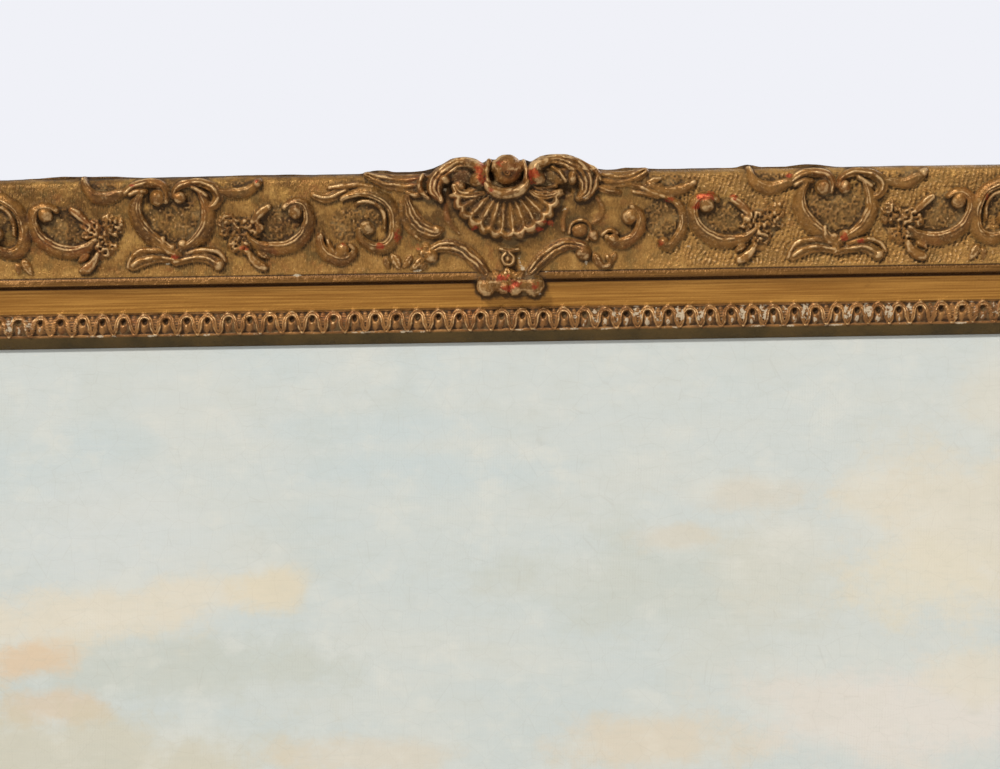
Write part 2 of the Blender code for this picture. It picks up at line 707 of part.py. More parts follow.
def key_outline(side, end, grow=0.0):
    """A key's wedge against the bar at the stretcher's inner corner, or its slot where grow is a clearance."""
    corner_x = side_length(side) / 2 - STRETCHER_INSET - STRETCHER_WIDTH
    edge = side_reach(side) - STRETCHER_INSET - STRETCHER_WIDTH
    near = corner_x - KEY_WIDTH - 2 * FACE_GAP - grow
    far = corner_x - 2 * FACE_GAP + grow
    deep, low = edge + KEY_BURIED + grow, edge + KEY_BURIED - KEY_LENGTH - grow
    shift = (KEY_WIDTH - KEY_TIP) * (1 if grow == 0 else 0)
    return [(end * x, z) for x, z in ((near, low), (far, low), (far, deep), (near + shift, deep))]


def add_stretcher(side, made_of):
    """One mitred bar of the stretcher, with a slot at each end, and its keys, which pass behind each other."""
    half, top = side_length(side) / 2 - STRETCHER_INSET, side_reach(side) - STRETCHER_INSET
    low = top - STRETCHER_WIDTH
    outer, inner = half - MITRE_SETBACK, half - STRETCHER_WIDTH - MITRE_SETBACK
    outline = [(-outer, top), (-inner, low), (inner, low), (outer, top)]
    bar = add_object(f"stretcher_{side}", prism(outline, STRETCHER_FRONT, STRETCHER_BACK), made_of, SIDES[side])
    stagger = KEY_THICKNESS / 2 + 2 * FACE_GAP
    for end, hand in ((-1, "a"), (1, "b")):
        middle = (STRETCHER_FRONT + STRETCHER_BACK) / 2 + end * stagger
        front, back = middle + KEY_THICKNESS / 2, middle - KEY_THICKNESS / 2
        slot = key_outline(side, end, FACE_GAP)
        cutter = add_cutter(f"slot_{side}_{hand}", slot, front + FACE_GAP, back - FACE_GAP, SIDES[side])
        cut(bar, cutter)
        key = prism(key_outline(side, end), front, back)
        add_object(f"stretcher_key_{side}_{hand}", key, made_of, SIDES[side])


def pin_mesh(x, outer, radius, length):
    """A round pin that points inwards across the rebate from a place on the rail."""
    depth = STRETCHER_BACK - FACE_GAP - PIN_DIAMETER / 2
    mesh = bmesh.new()
    rings = []
    for z in (outer, outer - length):
        ring = ring_of((x, -depth), radius, PIN_SIDES)
        rings.append([mesh.verts.new((a, y, z)) for a, y in ring])
    for index in range(PIN_SIDES):
        following = (index + 1) % PIN_SIDES
        mesh.faces.new([rings[0][index], rings[0][following], rings[1][following], rings[1][index]])
    mesh.faces.new(rings[0])
    mesh.faces.new(rings[1])
    return mesh


def add_pins(side, rail, made_of):
    """Two pins driven into the rebate's wall, which hold the stretcher in."""
    wall = side_reach(side) - REBATE_EDGE
    for end, hand in ((-1, "a"), (1, "b")):
        x = end * PIN_SPREAD * (side_length(side) / 2 - REBATE_EDGE)
        pin = pin_mesh(x, wall + PIN_BURIED, PIN_DIAMETER / 2, PIN_LENGTH)
        add_object(f"canvas_pin_{side}_{hand}", pin, made_of, SIDES[side])
        hole = pin_mesh(x, wall + PIN_BURIED + FACE_GAP, PIN_DIAMETER / 2 + FACE_GAP, PIN_LENGTH)
        cutter = add_object(f"pin_hole_{side}_{hand}", hole, made_of, SIDES[side])
        cutter.hide_render = True
        cutter.display_type = "WIRE"
        cut(rail, cutter)


def main():
    for old in list(bpy.data.objects):
        bpy.data.objects.remove(old)
    gilt = material("old gilt", (0.23, 0.125, 0.042), 0.42, 0.55)
    painted = material("painted canvas", (0.63, 0.65, 0.62), 0.6)
    wood = material("bare wood", (0.42, 0.28, 0.16), 0.8)
    steel = material("pin steel", (0.2, 0.18, 0.16), 0.5, 0.8)
    for side in SIDES:
        rail = add_rail(side, gilt)
        add_pins(side, rail, steel)
        add_stretcher(side, wood)
    add_canvas(painted)


main()
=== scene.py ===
"""The looks of a framed oil painting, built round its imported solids.

Each rail of the frame is one carved mesh. Its relief is worked out on a map of heights: u runs along the
rail from its middle and q inwards from its outer edge, both in millimetres. The motifs are shapes drawn on
that map.
"""

import math

import bpy
import numpy as np
from mathutils import Matrix, Vector


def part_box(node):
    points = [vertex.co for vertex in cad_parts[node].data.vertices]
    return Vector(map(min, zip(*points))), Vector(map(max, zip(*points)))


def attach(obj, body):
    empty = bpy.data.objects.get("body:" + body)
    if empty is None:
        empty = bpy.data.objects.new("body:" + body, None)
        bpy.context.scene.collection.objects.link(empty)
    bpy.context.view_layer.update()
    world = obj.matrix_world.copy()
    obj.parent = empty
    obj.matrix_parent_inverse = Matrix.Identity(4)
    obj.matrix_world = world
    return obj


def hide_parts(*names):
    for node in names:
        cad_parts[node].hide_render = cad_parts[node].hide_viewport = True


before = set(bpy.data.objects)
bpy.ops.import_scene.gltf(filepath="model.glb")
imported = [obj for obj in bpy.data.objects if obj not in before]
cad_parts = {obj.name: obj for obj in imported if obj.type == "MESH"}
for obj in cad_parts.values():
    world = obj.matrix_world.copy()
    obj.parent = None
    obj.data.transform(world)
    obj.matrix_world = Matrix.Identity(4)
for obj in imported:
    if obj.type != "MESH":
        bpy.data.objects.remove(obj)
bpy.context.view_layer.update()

MM = 0.001

# Rail profile, in millimetres from the outer edge and forwards from the flat back
JOINT_GAP = 0.3
ROLL = 5.0
PANEL = 60.2
FILLET = 64.6
STEP = 65.8
COVE = 82.0
OVOLO = 95.2
FLAT = 96.4
SIGHT_EDGE = 102.1
REBATE_EDGE = 95.1
BACK_INSET = 2.0
PANEL_DEPTH = 46.6
SIDE_DEPTH = 38.0
ROOT_DEPTH = 29.0
FILLET_DEPTH = 34.0
COVE_DEPTH = 30.0
SIGHT_DEPTH = 25.6
OVOLO_RISE = 2.8
LIP_DEPTH = 21.6
REBATE_DEPTH = 20.0

# The frame's outside size and its place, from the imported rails
MITRE_SETBACK = JOINT_GAP / 2 * math.sqrt(2)
top_low, top_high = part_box("top_rail")
side_low, side_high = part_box("left_rail")
FRAME_WIDTH = (top_high.x - top_low.x) / MM + 2 * MITRE_SETBACK
FRAME_HEIGHT = (side_high.z - side_low.z) / MM + 2 * MITRE_SETBACK
FRAME_CENTRE_Z = (side_high.z + side_low.z) / 2
CREST_LIMIT = (top_high.z - FRAME_CENTRE_Z) / MM - FRAME_HEIGHT / 2
DEPTH_LIMIT = -top_low.y / MM - 0.15

# The most triangles that the top rail keeps, and each of the others
TOP_TRIANGLES = 196000
OTHER_TRIANGLES = 120000

# Each rail is made as the top one and then turned to its side
SIDES = {"top": 0.0, "right": math.pi / 2, "bottom": math.pi, "left": -math.pi / 2}

# The map of heights
MAP_FROM = -12.0
MAP_TO = 104.0
FINE_CELL = 0.4
FINE_REACH = 312
COARSE_CELL = 0.6
BED_BLEND = 2.4
MEETING = 1.0
PEBBLE_HEIGHT = 0.72
FOOT_SLOPE = 1.6
REED_DEPTH = 1.1
REED_CUT_LEAST = 0.15
REED_CUT_MOST = 0.28
ROSETTE_PETALS = 5
RIB_PITCH = 2.2


def soft_step(value, low, high):
    """0 at low and before it, 1 at high and beyond, and smooth in between."""
    share = np.clip((value - low) / (high - low), 0, 1)
    return share * share * (3 - 2 * share)


def noise(u, q, scale, seed, octaves=1):
    """Smooth noise from -1 to 1 over places, with features of about the given scale."""
    made, weight, total = 0.0, 1.0, 0.0
    for octave in range(octaves):
        table = np.random.default_rng(seed + 17 * octave).uniform(-1, 1, (256, 256))
        a, b = np.asarray(u) / scale + 70.3, np.asarray(q) / scale + 31.7
        i, j = np.floor(a).astype(int), np.floor(b).astype(int)
        s, t = a - i, b - j
        s, t = s * s * (3 - 2 * s), t * t * (3 - 2 * t)
        near, next_u, next_q, far = (
            table[(i + x) % 256, (j + y) % 256] for x, y in ((0, 0), (1, 0), (0, 1), (1, 1))
        )
        mixed = (near * (1 - s) + next_u * s) * (1 - t) + (next_q * (1 - s) + far * s) * t
        made = made + mixed * weight
        total += weight
        weight *= 0.55
        scale /= 2.1
    return made / total


def bell(value, middle, width):
    """1 in the middle, and falling off smoothly on both sides."""
    return np.exp(-(((value - middle) / width) ** 2))


def dome(away, power=0.5):
    """1 at the centre, and 0 at a distance of 1 and beyond."""
    return np.clip(1 - away**2, 0, 1) ** power


def smooth_line(points, step=0.9):
    """A Catmull-Rom curve through rows of (u, q, half width), at stations a step apart."""
    rows = np.array(points, float)
    padded = np.vstack([2 * rows[0] - rows[1], rows, 2 * rows[-1] - rows[-2]])
    t = np.linspace(0, 1, 12, endpoint=False)[:, None]
    made = []
    for a, b, c, d in zip(padded, padded[1:], padded[2:], padded[3:]):
        turn = 2 * a - 5 * b + 4 * c - d
        twist = 3 * b - a - 3 * c + d
        made.append((2 * b + (c - a) * t + turn * t**2 + twist * t**3) / 2)
    line = np.vstack(made + [rows[-1:]])
    travelled = np.concatenate([[0], np.cumsum(np.hypot(*np.diff(line[:, :2], axis=0).T))])
    stations = np.linspace(0, travelled[-1], max(2, round(travelled[-1] / step)) + 1)
    line = np.stack([np.interp(stations, travelled, column) for column in line.T], 1)
    line[:, 2] = np.maximum(line[:, 2], 0.3)
    return line


# Shapes of the ornament

def strand(points, height, reeds=0, cup=0.0, lip=0.0):
    """A raised strand through rows of (u, q, half width): reeded along its length, hollowed, or with a ridged
    lip along one side: 1 is the right hand on the way along it, as seen, and -1 the left."""
    return {"kind": "strand", "rows": points, "height": height, "reeds": reeds, "cup": cup, "lip": lip}


def ball(u, q, radius, height, tall=1.0):
    """A round or oval boss."""
    return {"kind": "ball", "at": (u, q), "radius": radius, "height": height, "tall": tall}


def petal(u, q, tip_u, tip_q, width, height):
    """A leaf from its base to its tip, with a vein down the middle and ribs beside it."""
    return {"kind": "petal", "at": (u, q), "tip": (tip_u, tip_q), "width": width, "height": height}


def rosette(u, q, radius, height):
    """A small open flower."""
    return {"kind": "rosette", "at": (u, q), "radius": radius, "height": height}


def curl(u, q, radius, half, height, start, sweep):
    """A strand bent round a centre, from an angle and over a sweep in degrees."""
    rows = []
    for step in range(6):
        angle = math.radians(start + sweep * step / 5)
        rows.append((u + radius * math.cos(angle), q + radius * math.sin(angle), half))
    return strand(rows, height)


def cluster(u, q, radius, height):
    """A worn flower: a lump that is crumbled all over into small curls and knobs."""
    return {"kind": "cluster", "at": (u, q), "radius": radius, "height": height}


def hollow(u, q, radius, depth, tall=1.0):
    """A drilled or shadowed hollow, in the ground and in what lies over it."""
    return {"kind": "hollow", "at": (u, q), "radius": radius, "height": depth, "tall": tall}


def pebbles(u, q, radius, tall, size=1.5, stretch=1.0):
    """Ground that is punched all over with small knobs inside an oval, drawn out along q by the stretch."""
    return {"kind": "pebbles", "at": (u, q), "radius": radius, "tall": tall, "size": size, "stretch": stretch}


def stain(kind, u, q, radius, tall):
    """A spot of bare red bole or of bare white gesso."""
    return {"kind": kind, "at": (u, q), "radius": radius, "tall": tall}


def placed(shapes, along=0.0, mirror=False):
    """The same shapes further along the rail, or seen in a mirror first."""
    turn = -1 if mirror else 1
    made = []
    for shape in shapes:
        copy = dict(shape)
        if "rows" in shape:
            copy["rows"] = [(turn * u + along, q, w) for u, q, w in shape["rows"]]
        for key in ("at", "tip"):
            if key in shape:
                copy[key] = (turn * shape[key][0] + along, shape[key][1])
        if "lip" in shape:
            copy["lip"] = turn * shape["lip"]
        made.append(copy)
    return made


def shield_motif():
    """A heart-shaped shield: two ridged rims that meet below, scroll ends above, feet, and side leaves."""
    return [
        pebbles(0, 27, 18, 16, 1.7, 1.15),
        pebbles(-41, 5, 8, 4.5, 1.5),
        pebbles(42, 4, 7, 4, 1.5),
        strand([(-52.8, 0.6, 1.7), (-51.6, 5, 2.6), (-49.4, 9, 3.2), (-45.6, 11.8, 3.9), (-39.5, 12.6, 4.3),
                (-33.5, 11.2, 3.6), (-27.5, 9, 2)], 4.0, lip=-0.5),
        strand([(28, 9.6, 2), (35, 10.8, 3.2), (42, 10.6, 3.8), (48.6, 7.8, 3.2),
                (52.6, 4, 2.4)], 4.0, lip=-0.5),
        ball(51.4, 5, 2.9, 4.8),
        strand([(-19, 10, 2.4), (-21.6, 15, 3.6), (-22.4, 21, 4.5), (-20.6, 27.6, 4.9), (-16.4, 33.6, 4.9),
                (-10.4, 38.8, 4.3), (-3.6, 43.2, 3.2), (3, 47, 2)], 4.8, lip=-1),
        strand([(17, 10, 2), (19.8, 15, 3.2), (21.2, 21, 4), (21, 27, 4.5), (18.2, 33.4, 4.5),
                (13, 38.8, 4), (6.6, 43, 3.1), (0, 47, 2)], 4.8, lip=1),
        strand([(-3.4, 14.6, 1.8), (-2.8, 10.4, 2.4), (-5.4, 6.2, 2.8), (-10.6, 4, 3), (-17, 4, 3),
                (-23.4, 6.2, 2.9), (-28, 10, 2)], 4.8, reeds=1),
        strand([(-25, 10.8, 1.3), (-20.6, 8.8, 1.8), (-15.6, 8.8, 1.7)], 4.2),
        ball(-8.4, 12.7, 5, 5.8),
        strand([(1, 12, 1.8), (2.4, 7.8, 2.2), (7, 4.8, 2.6), (13, 4, 2.8), (19.6, 4.8, 3), (25.4, 8, 3.2),
                (27.6, 12.6, 3.1), (25.4, 17, 3), (22.6, 18.6, 2)], 4.8, reeds=1),
        strand([(12.6, 7, 1.1), (17, 9.6, 1.5), (20.6, 12, 1.2)], 5.2),
        ball(4.6, 12.7, 4.1, 5.4),
        hollow(11.6, 13, 2, 1.1, 1.8),
        hollow(-14.2, 15, 1.8, 1.1, 1.8),
        strand([(0, 49.6, 2.6), (-7.6, 48.2, 3.1), (-14.6, 48.2, 3.8), (-21, 50, 4.3),
                (-25.4, 53, 3.4)], 4.4, reeds=1),
        strand([(-3, 45, 1.6), (-11, 43.8, 2), (-18.6, 43.6, 2.1), (-23.6, 45.4, 1.8), (-27, 49.6, 1.4),
                (-28.6, 54, 1.1)], 3.5),
        strand([(0, 50.4, 2.6), (7.4, 49.2, 2.9), (14.6, 48.4, 3.1), (21, 49.8, 3.5),
                (26.2, 53, 3.6)], 4.4, reeds=1),
        strand([(7, 46.2, 1.4), (14, 44.6, 1.8), (21, 44.4, 1.9), (27, 46.2, 1.7), (30.4, 51, 1.2)], 3.5),
        ball(26, 53.2, 3.5, 4.9),
        strand([(-6.6, 36.6, 1.4), (-6.8, 40.4, 2.1), (-4.4, 44, 2.4), (0.4, 46.6, 2.2)], 5.0),
        ball(-1.2, 43, 3.6, 4.9),
        ball(5, 41, 3.6, 5.3),
        petal(-0.6, 44.4, 0.8, 53.2, 3.2, 5.0),
    ]


def moon_motif():
    """A boat-shaped scroll that ends in a ball, with a leaf, three worn flowers and a hanging drop."""
    return [
        pebbles(3, 30, 16, 13, 1.7),
        pebbles(-21, 34, 13, 10, 1.4),
        strand([(5.6, 19.4, 1.7), (9.6, 16.8, 2.3), (15, 16.8, 2.7), (19.4, 20, 3.1), (20.8, 26, 3.6),
                (19, 32.4, 4), (15, 38, 4.3), (9, 42, 4.5), (1.4, 44, 4.4), (-6, 43.4, 3.8), (-12.6, 41, 3),
                (-17, 37.6, 1.8)], 5.0, lip=1),
        ball(12.4, 21.9, 4.8, 5.8),
        strand([(-3.6, 19.4, 1.8), (-6.6, 21.2, 2.5), (-10.2, 24.4, 2.4), (-13.6, 28, 1.6)], 4.4, cup=0.3),
        cluster(-15.6, 31.6, 7, 4.8),
        cluster(-27.6, 29, 7.4, 5),
        cluster(-21.6, 41.4, 7, 4.8),
        cluster(-20.6, 35, 5.6, 4.2),
        petal(-12, 45, -5, 50, 2.4, 3.4),
        strand([(-17.4, 46, 1.8), (-15, 50, 2.5), (-11.4, 53.4, 3.1), (-7.8, 55, 2.4)], 4.2, cup=0.15),
    ]


def roundel_motif():
    """A large C-scroll that winds into a ball, with a lower scroll beside it and a leaf above."""
    return [
        pebbles(-11, 30, 11, 11, 1.6),
        pebbles(3, 25, 11, 8, 1.6),
        strand([(-20, 8.6, 1.6), (-12, 7.6, 2.2), (-3, 7, 2), (5, 8.4, 1.2)], 3.2),
        strand([(-3.8, 33.4, 1.8), (-2.8, 38.6, 2.7), (2, 43, 3.3), (8.6, 44.8, 3.8), (14.8, 42.2, 4),
                (18.2, 36.2, 4), (18.8, 28.4, 3.8), (16.8, 20.8, 3.8), (11.4, 14.6, 3.8), (3, 11.2, 3.5),
                (-6, 11.8, 2.9), (-13, 14.6, 1.8)], 5.0, lip=-1),
        strand([(-5, 18.8, 1.2), (0, 16.6, 1.5), (6, 17.4, 1.6), (10.4, 21.2, 1.6), (12.4, 27, 1.5),
                (12, 33, 1.1)], 3.0),
        ball(1.2, 32.6, 4.6, 5.8),
        strand([(-27, 37, 2.2), (-27, 43, 3.2), (-23.4, 48.6, 3.7), (-16, 51.6, 3.7), (-9.6, 50.2, 3),
                (-6.4, 46, 2), (-9, 42.6, 1.3)], 4.6, lip=-1),
        strand([(-22.6, 39.4, 1.1), (-21.4, 44, 1.5), (-19, 47, 1.1)], 3.6),
        ball(-14, 46, 4.8, 5.2),
        strand([(-30, 12.6, 2.4), (-24.6, 14.4, 2.9), (-18, 13, 2.9), (-11, 10.4, 2.2)], 4.2, reeds=1),
        petal(15.6, 48, 21, 57.6, 3, 3.2),
        petal(12, 49.6, 13.4, 58, 2.2, 2.4),
    ]


def small_roundel_motif():
    """A small scroll that winds into a ball beside a leaf, and the far rim of its roundel."""
    return [
        pebbles(5, 30, 13, 12, 1.7),
        strand([(-13, 22.6, 1.8), (-8.8, 26, 2.6), (-8, 32, 3.3), (-11, 39, 3.7), (-17, 43.6, 3.8),
                (-23.6, 44, 3.2), (-28.6, 40.4, 1.8)], 4.7, lip=1),
        ball(-14.6, 28.6, 4.8, 5.8),
        ball(-24.6, 41.4, 3.8, 5.0, 0.8),
        strand([(-31.4, 38.6, 1.1), (-27, 36.4, 1.5), (-22.6, 38, 1.3)], 3.6),
        strand([(8, 17.6, 1.6), (13.6, 20.4, 2.5), (17.2, 26, 3), (17.8, 33, 3.2), (15.4, 39.6, 3.3),
                (11.4, 44.4, 3.2), (6.6, 46.4, 2.8), (2.8, 43.4, 1.8)], 4.4, lip=1),
        ball(5.4, 43.4, 3.4, 4.8),
        strand([(24, 8.8, 1.8), (18, 12.2, 3), (10.5, 14, 3.4), (4, 12.8, 2.6),
                (-3, 10, 1.5)], 3.9, lip=0.4),
        strand([(-8, 11.6, 1.4), (-1, 14.6, 2), (6, 17.2, 1.4)], 3.4),
        petal(-6, 9.6, 5, 5.4, 2.4, 3.2),
        pebbles(10, 7, 9, 4, 1.6),
    ]


def left_crest():
    """The crest's left half: horn, cuff, side leaf, the scroll beside the shell and the one below it."""
    return [
        strand([(-60, 15, 2.4), (-59, 22, 3.8), (-55.6, 28.6, 5), (-49.6, 33.6, 5), (-43.6, 35.6, 3.6),
                (-40, 34.4, 2)], 3.3, reeds=3),
        ball(-42.6, 34.4, 3.2, 3.6),
        strand([(-63.6, 18, 1.1), (-63.4, 26, 1.6), (-59.6, 34, 1.7), (-53, 39.6, 1.2)], 1.8),
        strand([(-37, 19, 1.6), (-36.6, 26, 2.2), (-33.6, 32, 2), (-29.6, 36.6, 1.2)], 1.1),
        strand([(-84, 0.6, 2.4), (-77, 3.4, 4.2), (-69, 5.8, 5.2), (-60.5, 6.4, 5.6), (-53, 5.4, 5),
                (-46, 4, 3.4)], 2.8, reeds=2),
        strand([(-60, 11.6, 1.2), (-54.6, 13.4, 2.2), (-49, 12.4, 2)], 3.2),
        strand([(-47.6, 51, 2), (-46.4, 46.8, 2.8), (-40.4, 44, 3.6), (-34.5, 44, 4.2), (-28.8, 46.2, 4.4),
                (-22.8, 50, 4.3), (-17.6, 55, 4), (-13.4, 60.6, 3.4)], 3.7, reeds=2),
        ball(-46.6, 50, 4.6, 5.0),
        cluster(-50, 47.4, 4.6, 4.2),
        petal(-51, 51, -58.6, 58, 2.8, 3.0),
        petal(-49, 54, -53, 59.4, 2.2, 2.6),
        petal(-58, 49, -64, 57.4, 2.2, 2.2),
        strand([(-36, 2, 4), (-27, 2, 6), (-18, 4, 4)], 4.6),
        strand([(-31.6, 9, 2.2), (-28.6, 13.2, 3.2), (-22.5, 14.8, 3.3), (-14, 13.4, 2.4)], 6.4, reeds=2),
        ball(-28.4, 8.6, 4.4, 5.4, 0.9),
        strand([(-17, -2.8, 3.6), (-20, -4.6, 3.9), (-25, -5.2, 4.1), (-31, -4, 4.5), (-37, -0.2, 5.1),
                (-41.2, 4.2, 5.7), (-43.2, 8.6, 5.2), (-42.8, 12.8, 4.2), (-40, 16.4, 2.4)], 8.8, reeds=3),
        ball(-37.6, 4.6, 4.4, 9.2, 0.85),
        hollow(-36.8, 8.6, 1.7, 1.6, 0.8),
        strand([(-50.4, 1.6, 1.2), (-52.4, 6.8, 1.9), (-51.2, 12, 1.9), (-47.4, 16, 1.2)], 6.0),
        strand([(-23, -4.6, 3.4), (-17.6, -3, 4), (-15.6, 0.6, 4.5), (-16.8, 4.9, 5)], 10.4),
        ball(-17.6, 5.2, 5, 11.0),
    ]


def right_crest():
    """The crest's right half."""
    return [
        strand([(50, 2.8, 3), (59, 5, 5), (67, 6, 5.4), (75, 4.8, 4.6), (83, 0.6, 2.6)], 2.8, reeds=2),
        strand([(53, 9.6, 1.6), (60, 12.4, 2.6), (67, 13.8, 1.6)], 3.4, reeds=1),
        strand([(72, 8.6, 1.4), (78, 10.4, 2), (84, 11.4, 2.2), (92.5, 10, 1.5)], 2.4, reeds=1),
        strand([(76, 13.4, 1), (84, 15.6, 1.5), (91, 17.6, 1)], 2.2),
        ball(43.6, 36, 5.2, 3.2, 0.8),
        curl(43.6, 36.4, 6.6, 0.9, 2.2, 170, 240),
        ball(51.6, 39, 3.3, 3.6),
        curl(58.6, 54.4, 3.0, 1.7, 2.6, -60, 220),
        petal(52, 49.6, 56.4, 58.6, 2.6, 3.2),
        petal(65, 49, 61, 58, 2.2, 2.4),
        strand([(47.4, 50, 2), (46, 46.2, 2.8), (39, 44, 3.6), (33, 44.4, 4.1), (27.8, 46.6, 4.3),
                (22.4, 50.4, 4.3), (17.4, 55, 4), (13.4, 60.6, 3.4)], 3.7, reeds=2),
        ball(45.8, 49.2, 4.9, 5.4),
        strand([(54, 17, 1.2), (57, 23, 1.6), (55.8, 29, 1.6), (51, 32, 1.1)], 1.1),
        strand([(36, 23, 1.2), (33.4, 29, 1.6), (33.8, 36, 1.2)], 1.0),
        strand([(18, 4, 4), (28, 2.6, 6.4), (38, 4, 4)], 4.6),
        hollow(36.4, 11, 2.6, 2, 1.5),
        strand([(14, 12.4, 2), (19.6, 14.8, 3.1), (26.4, 14.8, 3.3), (32, 12.8, 2)], 6.4, reeds=3),
        strand([(17, 10.4, 1.4), (23, 10.6, 2), (29, 9.4, 1.6)], 5.6, reeds=1),
        strand([(18, -3, 3.6), (21, -5, 3.9), (26.4, -5.9, 4.2), (34, -5.2, 4.9), (41.4, -2.2, 5.8),
                (46.2, 3.2, 5.9), (48, 8.8, 5.2), (46.6, 13.4, 4.2), (43, 16.8, 2.4)], 8.8, reeds=3),
        strand([(43, -6.4, 1.4), (49, -3, 2.1), (54, 1.6, 2.2), (56, 6, 1.4)], 5.2),
        strand([(27, -1.6, 1.2), (31.6, 1.4, 1.8), (35, 6.4, 1.4)], 7.4),
        ball(39.6, 4.4, 3.6, 8.8, 1.5),
        strand([(46.4, 17.6, 1.2), (50.2, 14.4, 1.9), (53, 9.6, 1.9), (54, 4.6, 1.4)], 5.4),
        strand([(24, -5, 3.4), (18.6, -3.2, 4), (16.6, 0.4, 4.5), (18, 4.6, 5)], 10.4),
        ball(18.8, 5, 5.1, 11.0),
    ]


def crest_middle():
    """The ball at the crest's top in its crescent collar, and the flower and palmette below the shell."""
    return [
        ball(0, 52.4, 5.4, 2.4),
        curl(0, 52.4, 3.7, 1.0, 4.4, -80, 330),
        ball(-0.3, 52.5, 1.7, 5.0),
        strand([(-5, 46.2, 1.2), (0.2, 47.6, 1.8), (6, 46.4, 1.2)], 2.8),
        strand([(-14, 66.4, 5), (0, 66, 6.5), (15, 66.4, 5)], 3.6),
        petal(0.4, 67, -1, 57, 4.2, 5.0),
        petal(-2.4, 66.6, -9.4, 59.4, 3.6, 4.8),
        petal(3, 66.6, 10, 59.4, 3.6, 4.8),
        ball(-13.2, 68.4, 6.2, 5.4),
        ball(15.6, 68, 6.5, 5.6),
        ball(-3, 69.4, 4, 5.2),
        ball(4, 70.4, 4.2, 5.2),
        cluster(0.4, 65.4, 7.4, 6.6),
        hollow(-5.4, 61, 1.2, 1.4),
        strand([(-5, -2, 5), (0, 1, 8), (6, -2, 5)], 8.2),
        strand([(-10.2, -6, 1.9), (-11.6, -1, 1.8), (-11.8, 4, 2), (-11, 8.6, 2.4)], 8.2),
        strand([(10.4, -5.6, 1.5), (11.6, -1, 1.5), (11.8, 4, 1.8), (11, 8, 2.2)], 7.6),
        strand([(-12.6, 7.8, 1.6), (-9.8, 11.2, 3.2), (-4.8, 13.2, 4.1), (0.6, 13.8, 4.4), (6, 12.9, 4.1),
                (10.4, 10.2, 3.2), (12.8, 6.8, 1.6)], 9.8),
        hollow(-7.6, 2.6, 2.2, 2.6, 2.4),
        ball(0.6, -3, 7.9, 11.6),
        strand([(-1.5, 1.6, 0.6), (0.4, -0.2, 0.6), (2.3, 1.6, 0.6), (0.5, 3.4, 0.6),
                (-1.3, 2, 0.5)], 10.8),
        ball(0.5, 1.7, 0.8, 10.9),
    ]


def corner_motif():
    """Half of a corner's scrollwork, as distances from the two outer edges."""
    return [
        pebbles(100, 32, 14, 10, 1.7),
        strand([(72, 44, 1.6), (79, 40, 3), (84.6, 33.6, 4), (87.4, 25, 4.6), (85, 16.6, 4.4),
                (78.6, 10.8, 3.8), (70, 10.4, 2.4)], 6.2, reeds=3),
        ball(69, 16, 5.2, 8.0),
        strand([(90, 44, 1.6), (97, 47.6, 2.6), (106, 48, 3.2), (114, 44.4, 3.4), (119.4, 37.6, 3.2),
                (119.4, 30.6, 2.8), (115.8, 26.6, 2)], 4.8, reeds=2),
        ball(112.4, 30.6, 4.2, 5.4),
        strand([(94, 14, 1.4), (102, 18.4, 2.8), (111, 18.8, 3.4), (121, 15.6, 3.4),
                (131.6, 8.4, 1.8)], 4.1, reeds=2),
        petal(104, 14, 116, 7, 2.4, 3),
        petal(93, 50, 84, 57, 2.4, 2.8),
        petal(108, 52, 118, 57, 2.2, 2.6),
        rosette(101, 32, 4.6, 3.6),
    ]


# The motifs on each side of the crest: (motif, place of its middle, how far it reaches, mirrored)
LEFT_RUN = (
    (roundel_motif, -86.0, 32.0, False),
    (moon_motif, -139.5, 33.0, False),
    (shield_motif, -201.0, 55.0, False),
    (moon_motif, -265.0, 33.0, True),
    (roundel_motif, -309.0, 32.0, False),
)
RIGHT_RUN = (
    (small_roundel_motif, 88.5, 30.0, False),
    (moon_motif, 132.0, 33.0, True),
    (shield_motif, 198.0, 55.0, False),
    (moon_motif, 259.0, 33.0, False),
    (roundel_motif, 300.0, 32.0, True),
)
CORNER_REACH = 134.0

# Wear on the top rail, where the photo shows it: place along and inwards, radius, and height as a share of it
BARE_BOLE = (
    (-16, -1.4, 5, 1.6), (-15, 4.4, 5, 1), (16, 3.4, 6.4, 1.1), (-10.4, 12, 3, 1), (-3.4, -4, 3.6, 1.2),
    (-66, 38, 3.4, 2.2), (-76, 43.4, 4.4, 0.8), (-54, 45.6, 4.4, 0.6), (-3, 63.6, 8, 0.5), (5, 67, 7, 0.6),
    (-99, 42, 2.8, 1), (119.4, 17, 8.4, 0.6), (113.4, 22, 3.6, 1.6), (98, 19, 5, 0.5), (92, 44, 3, 1),
    (-159, 43.4, 4.4, 0.7), (-201, 48, 4.4, 0.6), (-150, 4, 2.6, 1), (203, 43, 3.4, 1.4), (213, 45, 3.6, 0.8),
    (24, 31, 6, 0.5), (19, 35, 4.4, 0.5), (-20.6, 33.6, 5, 0.4), (16, 69, 5, 0.9), (0, 70, 7, 0.5),
    (136, 18.5, 4, 0.8), (300, 16, 7, 0.4), (287, 20, 4, 0.8), (169, 5, 3, 1), (-224, 5, 4, 0.5),
)
BARE_GESSO = (
    (7.2, 55, 1.6, 2.4), (9, 58, 2.2, 1.2), (34, 23, 3, 0.35), (109, 46, 1.6, 0.8), (148, 56.4, 3, 0.3),
    (-128, 60.4, 5, 0.25), (-55, 58.6, 5, 0.2), (-37, 11.4, 1.2, 1.6), (47, 17, 3.4, 0.3), (22, 60, 2.2, 0.6),
    (-262, 41, 2, 0.8), (-206, 52, 3, 0.4), (47, 55, 2, 1), (19.6, 73.4, 2.6, 0.4),
)


